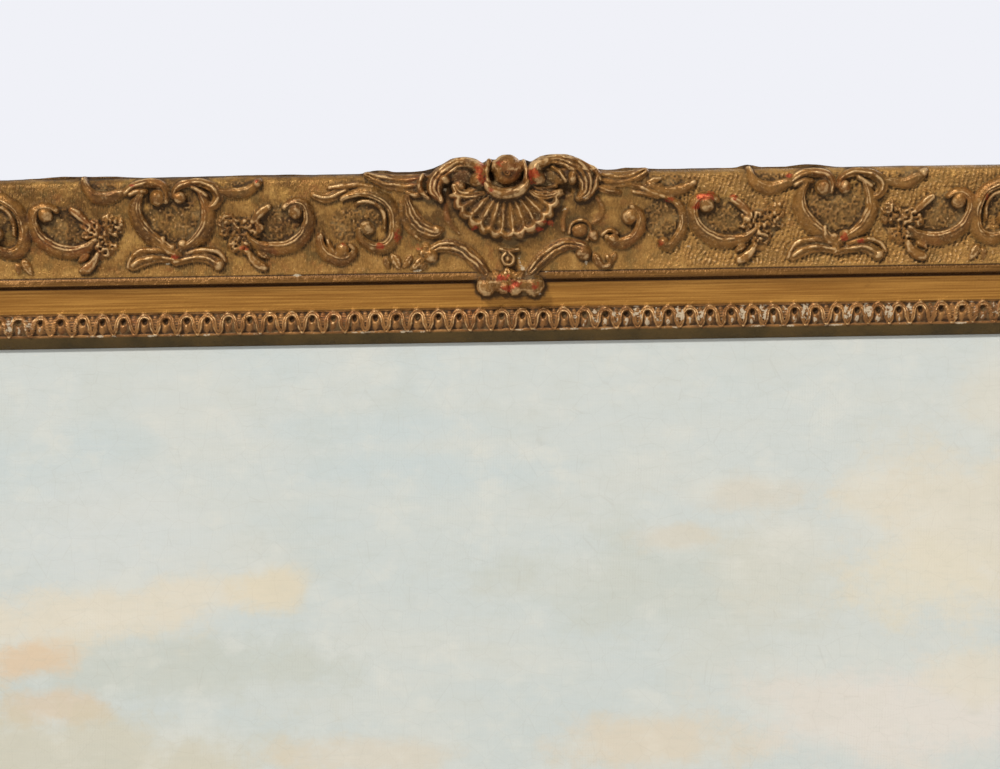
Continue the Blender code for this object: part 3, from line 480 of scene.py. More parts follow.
def rail_shapes(length, worn):
    """Every shape on a rail of this length, in the order in which they lie over each other."""
    half = length / 2
    shapes = []
    for motif, centre, reach, mirror in LEFT_RUN + RIGHT_RUN:
        if abs(centre) + reach < half - CORNER_REACH:
            shapes += placed(motif(), centre, mirror)
    shapes += placed(corner_motif(), -half)
    shapes += placed(corner_motif(), half, True)
    shapes += left_crest() + right_crest() + crest_middle()
    if worn:
        shapes += [stain("bole", *spot) for spot in BARE_BOLE]
        shapes += [stain("gesso", *spot) for spot in BARE_GESSO]
    return shapes


# The shell under the crest, and a fan in each corner
SHELL_Q = 3.0
SHELL_LOBES = 12
SHELL_SPREAD = math.radians(73)
SHELL_SIDE = 36.4
SHELL_DROP = 38.6
SHELL_SCALLOP = 1.7
SHELL_HEIGHT = 5.4
SHELL_FLUTE = 2.6
FAN_AT = 6.0
FAN_LOBES = 9
FAN_SPREAD = math.radians(40)
FAN_RADIUS = 60.0
FAN_SCALLOP = 2.4
FAN_HEIGHT = 4.8
FAN_FLUTE = 2.2

# Painted shade under the crest's ball, and the ground darkened round the whole crest: (q, half width, half
# height, from, to, amount)
CREST_SHADES = ((19, 13, 8, 0.5, 1.3, 1.6), (28, 66, 26, 0.6, 1.15, 0.9))


def fluted_fan(radius, angle, spread, lobes, reach, scallop, height, flute):
    """The height of a fluted fan: ribs between grooves that run out before a rolled, scalloped lip."""
    wave = np.abs(np.cos(angle / (2 * spread) * lobes * math.pi))
    edge = reach - scallop * (1 - wave)
    share = np.clip(radius / edge, 0, 1)
    rise = np.sin(np.minimum(1.0, share * 1.12) * math.pi * 0.56)
    lip = np.clip((1 - share) * 11, 0, 1) ** 0.6
    hollow_flute = flute * wave**0.8 * np.clip(share * 1.6, 0, 1) * (1 - soft_step(share, 0.8, 0.92))
    rolled = 1.1 * bell(share, 0.93, 0.045) - 0.5 * bell(share, 0.83, 0.03)
    inside = (np.abs(angle) < spread) & (radius < edge)
    return np.where(inside, lip * (rise * (height - hollow_flute) + rolled), 0.0)


class Relief:
    """The ornament of one rail, as maps of its height, of its wear and patina, and of the painted shade and
    highlights over the whole front.
    """

    def __init__(self, length, cell, seed, worn):
        self.cell, self.half, self.seed, self.worn = cell, length / 2, seed, worn
        self.across = np.arange(-self.half - 2, self.half + 2, cell)
        self.down = np.arange(MAP_FROM, MAP_TO, cell)
        self.u, self.q = np.meshgrid(self.across, self.down)
        for name in ("height", "ground", "bole", "gesso", "shade"):
            setattr(self, name, np.zeros(self.u.shape))
        self.bent_u = self.wandering(self.u, seed + 51)
        self.bent_q = self.wandering(self.q, seed + 53)

    def wandering(self, places, seed):
        """Places shifted a little, because nothing carved by hand is quite even."""
        return places + 0.45 * noise(self.u, self.q, 7.0, seed) + 0.2 * noise(self.u, self.q, 2.4, seed + 1)

    def window(self, places, reach):
        """The part of the maps that lies within reach of some places."""
        low, high = np.min(places, axis=0) - reach, np.max(places, axis=0) + reach
        a, b = np.searchsorted(self.across, (low[0], high[0]))
        c, d = np.searchsorted(self.down, (low[1], high[1]))
        return slice(c, d), slice(a, b)

    def lay(self, part, raised):
        """Lays a shape over what is there, with a small hollow curve where the two meet."""
        under = self.height[part]
        blend = np.clip(MEETING - np.abs(under - raised), 0, None)
        self.height[part] = np.maximum(under, raised) + blend**2 / (4 * MEETING)

    def lay_boss(self, part, shape, away, body):
        """Lays a rounded shape and its sloping foot, given the distance to its centre in radii."""
        foot = FOOT_SLOPE * (1 - away) * shape["radius"]
        self.lay(part, np.where(away < 1, shape["height"] * body, foot))

    def add_strand(self, shape):
        line = smooth_line(shape["rows"])
        part = self.window(line[:, :2], line[:, 2].max() + 3)
        u, q = self.bent_u[part], self.bent_q[part]
        best = np.full(u.shape, 1e9)
        gap = np.full(u.shape, 1e9)
        side = np.zeros(u.shape)
        for start, end in zip(line, line[1:]):
            du, dq = end[:2] - start[:2]
            share = np.clip(((u - start[0]) * du + (q - start[1]) * dq) / (du * du + dq * dq + 1e-9), 0, 1)
            off_u, off_q = u - start[0] - share * du, q - start[1] - share * dq
            width = start[2] + share * (end[2] - start[2])
            away = np.hypot(off_u, off_q)
            ratio = away / width
            closer = ratio < best
            best = np.where(closer, ratio, best)
            gap = np.where(closer, away - width, gap)
            side = np.where(closer, np.sign(du * off_q - dq * off_u), side)
        across = np.clip(best, 0, 1) * side + 0.09 * noise(u, q, 4.0, self.seed + 4)
        body = dome(best, 0.55)
        if shape["reeds"]:
            wave = np.cos(across * math.pi * (shape["reeds"] + 1))
            sign = -1 if shape["reeds"] % 2 else 1
            cut = min(REED_CUT_MOST, max(REED_CUT_LEAST, REED_DEPTH / shape["height"]))
            body = body * (1 - cut * (1 + sign * wave))
        if shape["cup"]:
            body = body * (1 - shape["cup"] * bell(across, 0, 0.45))
        if shape["lip"]:
            inward = across * np.sign(shape["lip"])
            ridges = bell(inward, 0.8, 0.12) + 0.7 * bell(inward, 0.36, 0.12)
            grooves = bell(inward, 0.58, 0.1) + 0.6 * bell(inward, 0.14, 0.1)
            body = body * (0.76 + abs(shape["lip"]) * (0.34 * inward + 0.3 * ridges - 0.26 * grooves))
        worn = 1 + 0.1 * noise(u, q, 4.5, self.seed + 3)
        self.lay(part, np.where(best < 1, shape["height"] * body * worn, -FOOT_SLOPE * gap))

    def local(self, shape, reach, tall=1.0):
        """The part of the maps round a shape, and each place's offset from its centre."""
        part = self.window([shape["at"]], reach * max(1.0, tall) + 3)
        return part, self.bent_u[part] - shape["at"][0], (self.bent_q[part] - shape["at"][1]) / tall

    def add_ball(self, shape):
        part, du, dq = self.local(shape, shape["radius"], shape["tall"])
        away = np.hypot(du, dq) / shape["radius"]
        body = dome(away, 0.6) * (1 + 0.07 * noise(self.u[part], self.q[part], 3, self.seed))
        self.lay_boss(part, shape, away, body)

    def add_cluster(self, shape):
        part, du, dq = self.local(shape, shape["radius"])
        u, q = self.u[part], self.q[part]
        away = np.hypot(du, dq) / shape["radius"] * (1 + 0.28 * noise(u, q, 3.4, self.seed + 12))
        worms = np.clip(1 - 3.0 * np.abs(noise(u, q, 2.4, self.seed + 13)), 0, 1)
        knobs = np.clip(noise(u, q, 1.4, self.seed + 14) * 1.8, -0.6, 1)
        self.lay_boss(part, shape, away, dome(away) * (0.44 + 0.42 * worms + 0.36 * knobs))

    def add_petal(self, shape):
        axis = np.array(shape["tip"]) - np.array(shape["at"])
        length = math.hypot(*axis)
        axis = axis / length
        part, du, dq = self.local(shape, length + shape["width"])
        along = (du * axis[0] + dq * axis[1]) / length
        across = du * -axis[1] + dq * axis[0]
        width = shape["width"] * np.sin(np.clip(along, 0, 1) ** 0.75 * math.pi) ** 0.75 + 1e-6
        ratio = np.abs(across) / width
        inside = (ratio < 1) & (along > 0) & (along < 1)
        body = dome(ratio) * (1 - 0.35 * bell(across, 0, 0.5))
        ribs = 1 - 0.1 * (1 + np.cos((along * length - np.abs(across)) * 2 * math.pi / RIB_PITCH))
        swell = 0.6 + 0.4 * np.sin(np.clip(along, 0, 1) * math.pi)
        self.lay(part, np.where(inside, shape["height"] * body * ribs * swell, -1.0))

    def add_rosette(self, shape):
        part, du, dq = self.local(shape, shape["radius"])
        away, angle = np.hypot(du, dq), np.arctan2(dq, du)
        lobes = np.abs(np.cos((angle + shape["at"][0]) * ROSETTE_PETALS / 2))
        edge = shape["radius"] * (0.72 + 0.28 * lobes)
        ratio = np.clip(away / edge, 0, 1)
        leaf = dome(ratio) * (0.62 + 0.38 * np.sqrt(lobes)) * (0.7 + 0.5 * ratio)
        eye = 0.95 * dome(away / (shape["radius"] * 0.32))
        raised = shape["height"] * np.maximum(np.where(ratio < 1, leaf, 0), eye)
        self.lay(part, np.where(ratio < 1, raised, FOOT_SLOPE * (edge - away)))

    def add_hollow(self, shape):
        part, du, dq = self.local(shape, shape["radius"], shape["tall"])
        self.height[part] -= shape["height"] * dome(np.hypot(du, dq) / shape["radius"])

    def add_pebbles(self, shape):
        part, du, dq = self.local(shape, shape["radius"], shape["tall"] / shape["radius"])
        inside = 1 - soft_step(np.hypot(du, dq) / shape["radius"], 0.85, 1.05)
        u, q = self.u[part], self.q[part] / shape["stretch"]
        knobs = noise(u, q, shape["size"] * 0.72, self.seed + 5)
        knobs = np.sign(knobs) * np.abs(knobs) ** 0.7 + 0.4 * noise(u, q, shape["size"] * 0.45, self.seed + 6)
        knobs = np.maximum(knobs, -0.25)
        self.ground[part] = inside * (PEBBLE_HEIGHT * knobs - 0.2) + (1 - inside) * self.ground[part]
        # Painted shade in the punched, sunk ground
        self.shade[part] = np.maximum(self.shade[part], 1.5 * inside)

    def add_stain(self, shape):
        part, du, dq = self.local(shape, shape["radius"], shape["tall"])
        spot = 1 - soft_step(np.hypot(du, dq) / shape["radius"], 0.1, 1.25)
        field = self.bole if shape["kind"] == "bole" else self.gesso
        field[part] = np.maximum(field[part], spot)

    def add_fans(self):
        """The shell, and a fan in each corner."""
        u, q = self.bent_u, self.bent_q
        angle = np.arctan2(u, q - SHELL_Q)
        radius = np.hypot(u, q - SHELL_Q)
        oval = 1 / np.hypot(np.sin(angle) / SHELL_SIDE, np.cos(angle) / SHELL_DROP)
        shell = fluted_fan(
            radius, angle, SHELL_SPREAD, SHELL_LOBES, oval, SHELL_SCALLOP, SHELL_HEIGHT, SHELL_FLUTE
        )
        a, b = self.half - np.abs(u) - FAN_AT, q - FAN_AT
        angle = np.arctan2(b, a) - math.pi / 4
        fan = fluted_fan(
            np.hypot(a, b), angle, FAN_SPREAD, FAN_LOBES, FAN_RADIUS, FAN_SCALLOP, FAN_HEIGHT, FAN_FLUTE
        )
        self.height = np.maximum(self.height, np.maximum(shell, fan))
        # Painted shade under the crest's ball, and darker ground round the crest
        for q_middle, half_u, half_q, low, high, shade in CREST_SHADES:
            away = np.hypot(u / half_u, (q - q_middle) / half_q)
            self.shade = np.maximum(self.shade, shade * (1 - soft_step(away, low, high)))

    def hatch_ground(self):
        """The panel's ground: fine upright hatching, smooth round the crest, coarser towards the right."""
        coarse = soft_step(self.u, 60, 110)
        shift = noise(self.u, self.q, 9, self.seed + 7, 2)
        fine = np.cos(2 * math.pi * (self.u / 1.3 + 0.9 * shift))
        columns = np.cos(2 * math.pi * ((self.u * 0.95 + self.q * 0.3) / 2.7 + 0.8 * shift))
        rungs = np.cos(2 * math.pi * (self.q / 1.9 + 1.1 * noise(self.u, self.q, 3.1, self.seed + 8)))
        strokes = noise(self.u * 1.7, self.q, 1.6, self.seed + 9)
        knobs = noise(self.u, self.q, 1.2, self.seed + 10)
        dashes = 0.34 * columns + 0.42 * rungs * (0.6 + 0.4 * columns) + 0.46 * knobs
        hatched = (1 - coarse) * (0.2 * fine + 0.34 * strokes) + coarse * dashes
        plain = (1 - soft_step(np.abs(self.u - 4), 60, 80)) * 0.8
        self.ground = hatched * (1 - plain)

    def carve(self, shapes):
        self.hatch_ground()
        self.add_fans()
        for shape in shapes:
            kind = shape["kind"]
            if kind in ("bole", "gesso"):
                self.add_stain(shape)
            else:
                getattr(self, "add_" + kind)(shape)
        self.finish()

    def finish(self):
        """Lays the shapes on the moulding, and works out the patina of the hollows with painted shade and
        shadow added, and the worn ridges, which also take painted highlights.
        """
        bare = 1 - soft_step(self.height, 0.2, 1.2)
        on_panel = soft_step(self.q, 1.5, 4.5) * (1 - soft_step(self.q, PANEL - 2.4, PANEL - 0.6))
        self.height = 0.5 * self.height + 0.5 * blurred(self.height, 0.45 / self.cell)
        relief = self.height + bare * self.ground * on_panel
        profile = profile_depth(self.q)
        bed = np.where(self.q < ROLL, PANEL_DEPTH, np.where(self.q > PANEL, FILLET_DEPTH, profile))
        lift = np.maximum(bed - profile, 0) * soft_step(self.height, 0.0, BED_BLEND)
        rough = 0.08 + 0.14 * on_panel * (1 - bare)
        ornament = lift + relief + rough * noise(self.u, self.q, 1.9, self.seed + 11, 2)
        edging, chalk = sight_ornament(self.u, self.q, self.seed)
        ornament += edging
        self.gesso = np.maximum(self.gesso, chalk * (1.0 if self.worn else 0.7))
        groove = 0.5 * bell(self.q, PANEL, 0.35) * bare
        self.depth = np.minimum(profile + ornament - groove, DEPTH_LIMIT)
        self.raised = 1 - bare
        near = blurred(ornament, 0.9 / self.cell) - ornament
        far = blurred(ornament, 2.8 / self.cell) - ornament
        # Painted shadow: the map is darker where the relief a little towards the light stands higher than
        # here
        towards_light = (round(2.2 / self.cell), round(1.4 / self.cell))
        painted_shadow = np.roll(self.height, towards_light, (0, 1)) - self.height
        # Dark patina in the hollows, with the painted shadow and the painted shade of the shade map added,
        # all stronger between the cove and the ovolo
        self.patina_and_shade = np.clip(near / 0.6, 0, 1) * 0.42 + np.clip(far / 2.4, 0, 1) * 0.3
        self.patina_and_shade += 0.3 * np.clip(painted_shadow / 4, 0, 1) + self.shade * (0.1 + 0.1 * bare)
        self.patina_and_shade *= 1 + 0.7 * soft_step(self.q, COVE - 1, COVE) * (1 - soft_step(self.q, OVOLO, OVOLO + 1))
        # Convex ridges: the sharp ones are rubbed bright and also take painted highlights, and the broad part
        # gives balls and crests a painted highlight
        self.ridge = np.clip(-near / 0.5, 0, 1) + 0.4 * np.clip(-far / 1.6, 0, 1)

    def sample(self, field, u, q):
        """A map's values at places, by bilinear interpolation."""
        a = np.clip((u - self.across[0]) / self.cell, 0, len(self.across) - 1.001)
        b = np.clip((q - self.down[0]) / self.cell, 0, len(self.down) - 1.001)
        i, j = a.astype(int), b.astype(int)
        s, t = a - i, b - j
        near = field[j, i] * (1 - s) + field[j, i + 1] * s
        far = field[j + 1, i] * (1 - s) + field[j + 1, i + 1] * s
        return near * (1 - t) + far * t


def blurred(field, reach):
    """A map smoothed over about the given number of cells, by two passes of a box filter each way."""
    size = max(1, round(reach))
    for _ in range(2):
        for axis in (0, 1):
            padding = [(0, 0), (0, 0)]
            padding[axis] = (size + 1, size)
            sums = np.cumsum(np.pad(field, padding, mode="edge"), axis=axis)
            count = field.shape[axis]
            later = np.take(sums, range(2 * size + 1, 2 * size + 1 + count), axis=axis)
            earlier = np.take(sums, range(count), axis=axis)
            field = (later - earlier) / (2 * size + 1)
    return field


def profile_depth(q):
    """The plain moulding's depth at a distance from the outer edge."""
    q = np.asarray(q, float)
    roll = SIDE_DEPTH + (PANEL_DEPTH - SIDE_DEPTH) * np.sin(np.clip(q / ROLL, 0, 1) * math.pi / 2) ** 0.6
    share = np.clip((q - ROLL) / (PANEL - ROLL), 0, 1)
    panel = FILLET_DEPTH + (PANEL_DEPTH - FILLET_DEPTH) * (1 + np.cos(math.pi * share)) / 2
    step = FILLET_DEPTH + (COVE_DEPTH - FILLET_DEPTH) * np.clip((q - FILLET) / (STEP - FILLET), 0, 1)
    turn = np.sin(math.pi / 2 * np.clip((q - STEP) / (COVE - STEP), 0, 1))
    cove = SIGHT_DEPTH + (COVE_DEPTH - SIGHT_DEPTH) * (1 - turn)
    ovolo = SIGHT_DEPTH + OVOLO_RISE * np.sin(math.pi * np.clip((q - COVE) / (OVOLO - COVE), 0, 1))
    bevel = SIGHT_DEPTH + (LIP_DEPTH - SIGHT_DEPTH) * np.clip((q - FLAT) / (SIGHT_EDGE - FLAT), 0, 1)
    zones = [q <= ROLL, q <= PANEL, q <= FILLET, q <= STEP, q <= COVE, q <= OVOLO, q <= FLAT]
    return np.select(zones, [roll, panel, np.full(q.shape, FILLET_DEPTH), step, cove, ovolo,
                             np.full(q.shape, SIGHT_DEPTH)], bevel)


# The ribbon that runs along the sight edge
RIBBON_PITCH = 12.75
RIBBON_FROM = -4.6
RIBBON_ARM = ((-6.3, 94.0), (-5.5, 92.9), (-4.6, 90.8), (-4.2, 87.8), (-3.6, 85.3), (-2.1, 83.4))
RIBBON_POINTS = RIBBON_ARM + ((0, 82.8),) + tuple((-u, q) for u, q in RIBBON_ARM[::-1])
RIBBON_HALF = 1.35


def sight_ornament(u, q, seed):
    """Arches of double ribbon, a drilled eye over a tongue in each, and a beaded column between two of them:
    their heights, and where chalky gesso shows."""
    made, chalk = np.zeros(u.shape), np.zeros(u.shape)
    rows = (q[:, 0] > COVE - 1.5) & (q[:, 0] < OVOLO + 1)
    u, q = u[rows], q[rows]
    cell = np.round((u - RIBBON_FROM) / RIBBON_PITCH)
    drift = 0.4 * noise(cell * 7.3, cell * 0, 5, seed + 21)
    a = u - RIBBON_FROM - cell * RIBBON_PITCH + 0.35 * noise(u, q, 3.4, seed + 22) + drift
    b = q + 0.3 * noise(u, q, 4, seed + 23)
    away = np.full(u.shape, 1e9)
    for (a0, b0), (a1, b1) in zip(RIBBON_POINTS, RIBBON_POINTS[1:]):
        da, db = a1 - a0, b1 - b0
        share = np.clip(((a - a0) * da + (b - b0) * db) / (da * da + db * db), 0, 1)
        away = np.minimum(away, np.hypot(a - a0 - share * da, b - b0 - share * db))
    ribbon = 1.9 * dome(away / RIBBON_HALF) * (1 - 0.5 * bell(away, 0, 0.42))
    ground = -1.4 * soft_step(b, 81.6, 82.6) * (1 - soft_step(b, 93.6, 94.6))
    eye = -2.4 * dome(np.hypot(a / 1.6, (b - 86.4) / 2.0))
    lean = a + 0.12 * (b - 88)
    tongue = 0.9 * dome(np.hypot(lean / 1.7, (b - 91.0) / 3.0))
    between = RIBBON_PITCH / 2 - np.abs(a)
    column = 1.4 * dome(np.hypot(between / 1.9, (b - 86.6) / 4.6))
    column = column * (0.72 + 0.28 * np.cos(2 * math.pi * b / 1.7))
    made[rows] = ground + np.maximum.reduce([ribbon, tongue, column]) + eye
    patchy = soft_step(noise(u, 0 * q, 26, seed + 24, 2) + 0.6 * soft_step(u, -60, 60), -0.1, 0.7)
    low_line = bell(q, 94.9, 0.5) * soft_step(noise(u, 0 * q, 9, seed + 25, 2), 0.0, 0.35)
    high_line = bell(b, 82.2, 0.6) * soft_step(-between, -3.4, -2.0) * patchy
    beside = soft_step(-between, -3.4, -2.2) * soft_step(b, 82.5, 84) * (1 - soft_step(b, 90, 93))
    on_column, on_tongue = np.clip(column / 1.1, 0, 1), 1.15 * np.clip(tongue, 0, 1)
    fill = np.maximum.reduce([on_column, 0.8 * beside * patchy, on_tongue]) * (0.3 + 0.95 * patchy)
    broken = soft_step(noise(1.6 * u, q, 1.3, seed + 26, 3), -0.35, 0.2)
    chalk[rows] = np.maximum.reduce([fill * broken, low_line, high_line * broken])
    return made, chalk


# How far the ornament stands beyond the outer edge, as rows of (u, distance), and how far in that tells
CREST_FALL = 22.0
CREST_EDGE = (
    (-300, 0), (-288, 0.4), (-267, 1.5), (-250, 1.3), (-234, 1), (-218, 0.1), (-200, 0.3), (-154, 0.7),
    (-88, 0.4), (-83, 1.6), (-80, 2.4), (-72, 2.3), (-68, 1.3), (-58, 1.2), (-50, 1.8), (-44, 3.2),
    (-40, 5), (-36, 7), (-32, 8.2), (-25, 8.8), (-20, 8.2), (-17, 7), (-15, 6.1), (-13.5, 6.1), (-12, 7.6),
    (-9, 8.1), (-6, 7.7), (-4.4, 8.6), (-2, 9.8), (0, 10.3), (2, 9.8), (4.4, 8.7), (6, 7.5), (8, 7),
    (10, 7.8), (12, 7.1), (15, 6), (20, 8.5), (25, 9.4), (30, 9.5), (35, 9.3), (40, 8), (45, 5.6),
    (50, 2.6), (55, 1.1), (60, 0.5), (66, 0.8), (72, 1.6), (78, 1.6), (85, 0.8), (92, 0.4), (138, 0.5),
    (142, 1.6), (145, 2.2), (149, 1.7), (153, 0.7), (168, 0.5), (175, 1.6), (181, 2.1), (188, 1.6),
    (195, 0.4), (203, -0.2), (215, 0.2), (300, 0),
)


def crest_line(u):
    """How far the ornament stands beyond the rail's outer edge, at places along it."""
    at, out = zip(*CREST_EDGE)
    return (np.interp(u - 1, at, out) + np.interp(u, at, out) + np.interp(u + 1, at, out)) / 3


def stations(low, high, step):
    """Even places from low to high, about a step apart."""
    return np.linspace(low, high, max(1, round((high - low) / step)) + 1)


def front_rows(fineness):
    """Distances from the outer edge of the rows of points along the front, closer where it is carved."""
    parts = [
        stations(0, 22, 0.42 * fineness), stations(22, PANEL - 0.2, 0.5 * fineness), [PANEL, PANEL + 0.2],
        stations(PANEL + 0.6, FILLET - 0.2, 0.9), [FILLET, FILLET + 0.4, STEP - 0.3, STEP],
        stations(STEP + 0.5, COVE - 0.3, 1.2), stations(COVE, OVOLO, 0.5 * fineness), [OVOLO + 0.5, FLAT],
        stations(FLAT + 0.4, SIGHT_EDGE, 1.1),
    ]
    return np.unique(np.round(np.concatenate(parts), 3))


def rail_rings(length, relief, fine):
    """Places round the rail's whole section, for each station along it: arrays of u, q and depth."""
    half = length / 2 - MITRE_SETBACK
    if fine:
        middle = stations(-FINE_REACH, FINE_REACH, 0.5)[1:-1]
        along = np.concatenate([stations(-half, -FINE_REACH, 1.2), middle, stations(FINE_REACH, half, 1.2)])
    else:
        along = stations(-half, half, 1.0)
    along = along / half
    rows = front_rows(1.0 if fine else 1.7)
    u = along[None, :] * (half - rows[:, None])
    edge = crest_line(u[0]) + 0.35 * noise(u[0], 0 * u[0], 14, relief.seed + 31, 3)
    edge = np.where(np.abs(u[0]) > half - 4, 0, np.clip(edge, -0.35, CREST_LIMIT - 0.05))
    fall = np.clip(1 - rows / CREST_FALL, 0, 1) ** 2
    q = rows[:, None] - edge[None, :] * fall[:, None]
    depth = relief.sample(relief.depth, u, q)
    hidden = []
    behind = ((0.93, np.maximum(ROOT_DEPTH, depth[0] - 2.0)), (0.6, ROOT_DEPTH + 3.6), (0.0, ROOT_DEPTH))
    for share, level in behind:
        hidden.append((u[0], -edge * share, np.minimum(level, depth[0])))
    rebate = ((REBATE_EDGE, 0.0), (REBATE_EDGE, REBATE_DEPTH), (SIGHT_EDGE, REBATE_DEPTH))
    for inset, level in ((BACK_INSET, 0.0), *rebate):
        hidden.append((along * (half - inset), np.full(along.shape, inset), np.full(along.shape, level)))
    return [np.vstack([front[::-1], np.array(back)]) for front, back in zip((u, q, depth), zip(*hidden))]


def tube_mesh(name, places):
    """A closed mesh from rings of places: rows run round the section, and columns along the piece."""
    rows, columns = places.shape[:2]
    index = np.arange(rows * columns).reshape(rows, columns)
    following = np.roll(index, -1, axis=0)
    faces = np.stack([index[:, :-1], following[:, :-1], following[:, 1:], index[:, 1:]], -1).reshape(-1, 4)
    ends = [index[::-1, 0].tolist(), index[:, -1].tolist()]
    mesh = bpy.data.meshes.new(name)
    mesh.from_pydata(places.reshape(-1, 3).tolist(), [], faces.tolist() + ends)
    mesh.validate()
    return mesh


def add_piece(name, mesh):
    """A mesh as an object of the scene."""
    piece = bpy.data.objects.new(name, mesh)
    bpy.context.scene.collection.objects.link(piece)
    return piece


def thinned(piece, most):
    """The piece with at most so many triangles, kept where the relief needs them."""
    piece.data.calc_loop_triangles()
    count = len(piece.data.loop_triangles)
    if count > most:
        modifier = piece.modifiers.new("thin", "DECIMATE")
        modifier.ratio = most / count
        modifier.use_collapse_triangulate = True
        seen = piece.evaluated_get(bpy.context.evaluated_depsgraph_get())
        mesh = bpy.data.meshes.new_from_object(seen)
        piece.modifiers.clear()
        piece.data = mesh
    return piece


def mesh_places(mesh):
    """The places of a mesh's points."""
    places = np.zeros(len(mesh.vertices) * 3, np.float32)
    mesh.vertices.foreach_get("co", places)
    return places.reshape(-1, 3).astype(float)


def store(mesh, name, values):
    """A number for each point of a mesh, which its material reads."""
    attribute = mesh.attributes.new(name, "FLOAT", "POINT")
    attribute.data.foreach_set("value", np.asarray(values, np.float32))


def store_uv(mesh, u, q):
    """The place along and across the moulding of each face corner, in metres, as a UV map."""
    corners = np.zeros(len(mesh.loops), np.int32)
    mesh.loops.foreach_get("vertex_index", corners)
    layer = mesh.uv_layers.new(name="along_rail")
    layer.data.foreach_set("uv", np.stack([u[corners] * MM, q[corners] * MM], 1).astype(np.float32).ravel())


def add_rail(side, gilt):
    """One rail: its carved mesh, with the maps of wear, patina, painted shade and painted highlights that its
    material reads.
    """
    lengthwise = side in ("top", "bottom")
    length = FRAME_WIDTH if lengthwise else FRAME_HEIGHT
    reach = (FRAME_HEIGHT if lengthwise else FRAME_WIDTH) / 2
    fine = side == "top"
    seed = 100 + 40 * list(SIDES).index(side)
    shapes = rail_shapes(length, fine)
    relief = Relief(length, FINE_CELL if fine else COARSE_CELL, seed, fine)
    relief.carve(shapes)
    u, q, depth = rail_rings(length, relief, fine)
    places = np.stack([u, -depth, reach - q], -1) * MM
    name = f"{side}_rail_carved"
    piece = thinned(add_piece(name, tube_mesh(name, places)), TOP_TRIANGLES if fine else OTHER_TRIANGLES)
    made = mesh_places(piece.data) / MM
    u, q = made[:, 0], reach - made[:, 2]
    front = soft_step(-made[:, 1] - relief.sample(relief.depth, u, q), -4.0, -1.5)
    for name in ("patina_and_shade", "ridge", "raised", "bole", "gesso"):
        store(piece.data, name, relief.sample(getattr(relief, name), u, q) * front)
    store(piece.data, "front", front)
    store_uv(piece.data, u, q)
    piece.data.shade_smooth()
    piece.data.set_sharp_from_angle(angle=math.radians(58))
    piece.data.materials.append(gilt)
    turn = Matrix.Translation((0, 0, FRAME_CENTRE_Z)) @ Matrix.Rotation(SIDES[side], 4, "Y")
    piece.data.transform(turn)
    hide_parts(f"{side}_rail")
    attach(piece, "root")


# Materials

def srgb(red, green, blue):
    """A linear colour from the 0 to 255 values that the photo shows."""
    made = []
    for share in (red / 255, green / 255, blue / 255):
        made.append(share / 12.92 if share <= 0.04045 else ((share + 0.055) / 1.055) ** 2.4)
    return (*made, 1.0)


class Nodes:
    """A material under construction, with a short way to add and join its nodes."""

    def __init__(self, name):
        self.material = bpy.data.materials.new(name)
        self.material.use_nodes = True
        self.tree = self.material.node_tree
        self.shader = self.tree.nodes["Principled BSDF"]

    def add(self, kind, inputs=None, **settings):
        node = self.tree.nodes.new("ShaderNode" + kind)
        for key, value in settings.items():
            setattr(node, key, value)
        for key, value in (inputs or {}).items():
            self.join(value, node.inputs[key])
        return node

    def join(self, value, socket):
        if isinstance(value, bpy.types.NodeSocket):
            self.tree.links.new(value, socket)
        else:
            socket.default_value = value

    def place(self, kind="Object"):
        return self.add("TexCoord").outputs[kind]

    def value(self, name):
        return self.add("Attribute", attribute_name=name).outputs["Fac"]

    def math(self, operation, a, b):
        return self.add("Math", {0: a, 1: b}, operation=operation).outputs[0]

    def plus(self, a, b):
        return self.math("ADD", a, b)

    def times(self, a, b):
        return self.math("MULTIPLY", a, b)

    def inverse(self, value):
        return self.math("SUBTRACT", 1.0, value)

    def jitter(self, value, field, amount):
        """A value made uneven by a noise field, whose middle is 0.5."""
        return self.plus(value, self.times(self.math("SUBTRACT", field, 0.5), amount))

    def ramp(self, value, low, high, start=0.0, end=1.0):
        limits = {"From Min": low, "From Max": high, "To Min": start, "To Max": end}
        made = self.add("MapRange", {"Value": value, **limits}, interpolation_type="SMOOTHSTEP")
        return made.outputs["Result"]

    def band(self, value, low, high, soft):
        """1 between low and high, and 0 outside, with soft ends."""
        rising = self.ramp(value, low - soft, low + soft)
        return self.times(rising, self.ramp(value, high + soft, high - soft))

    def scaled(self, vector, scale):
        return self.add("Mapping", {"Vector": vector, "Scale": scale}).outputs["Vector"]

    def noise(self, vector, scale, detail, rough=0.5):
        made = self.add("TexNoise", {"Vector": vector, "Scale": scale, "Detail": detail, "Roughness": rough})
        return made.outputs["Fac"]

    def weave(self, vector, **settings):
        """Threads that cross each other."""
        inputs = {"Vector": vector, **{key.replace("_", " "): value for key, value in settings.items()}}
        threads = [self.add("TexWave", inputs, bands_direction=axis).outputs["Fac"] for axis in ("X", "Z")]
        return self.math("MAXIMUM", *threads)

    def mix(self, share, a, b):
        return self.add("Mix", {0: share, 6: a, 7: b}, data_type="RGBA").outputs[2]

    def tints(self, colour, *rows):
        """A colour with others laid over it, as rows of (field, from, to, share, colour)."""
        for field, low, high, share, shade in rows:
            colour = self.mix(self.ramp(field, low, high, 0.0, share), colour, shade)
        return colour

    def bump(self, *rows):
        """The normal over rows of (height, distance, strength), each laid over the one before."""
        normal = None
        for height, distance, strength in rows:
            node = self.add("Bump", {"Height": height, "Distance": distance, "Strength": strength})
            if normal is not None:
                self.join(normal, node.inputs["Normal"])
            normal = node.outputs["Normal"]
        self.join(normal, self.shader.inputs["Normal"])

    def set(self, **inputs):
        for key, value in inputs.items():
            self.join(value, self.shader.inputs[key.replace("_", " ")])


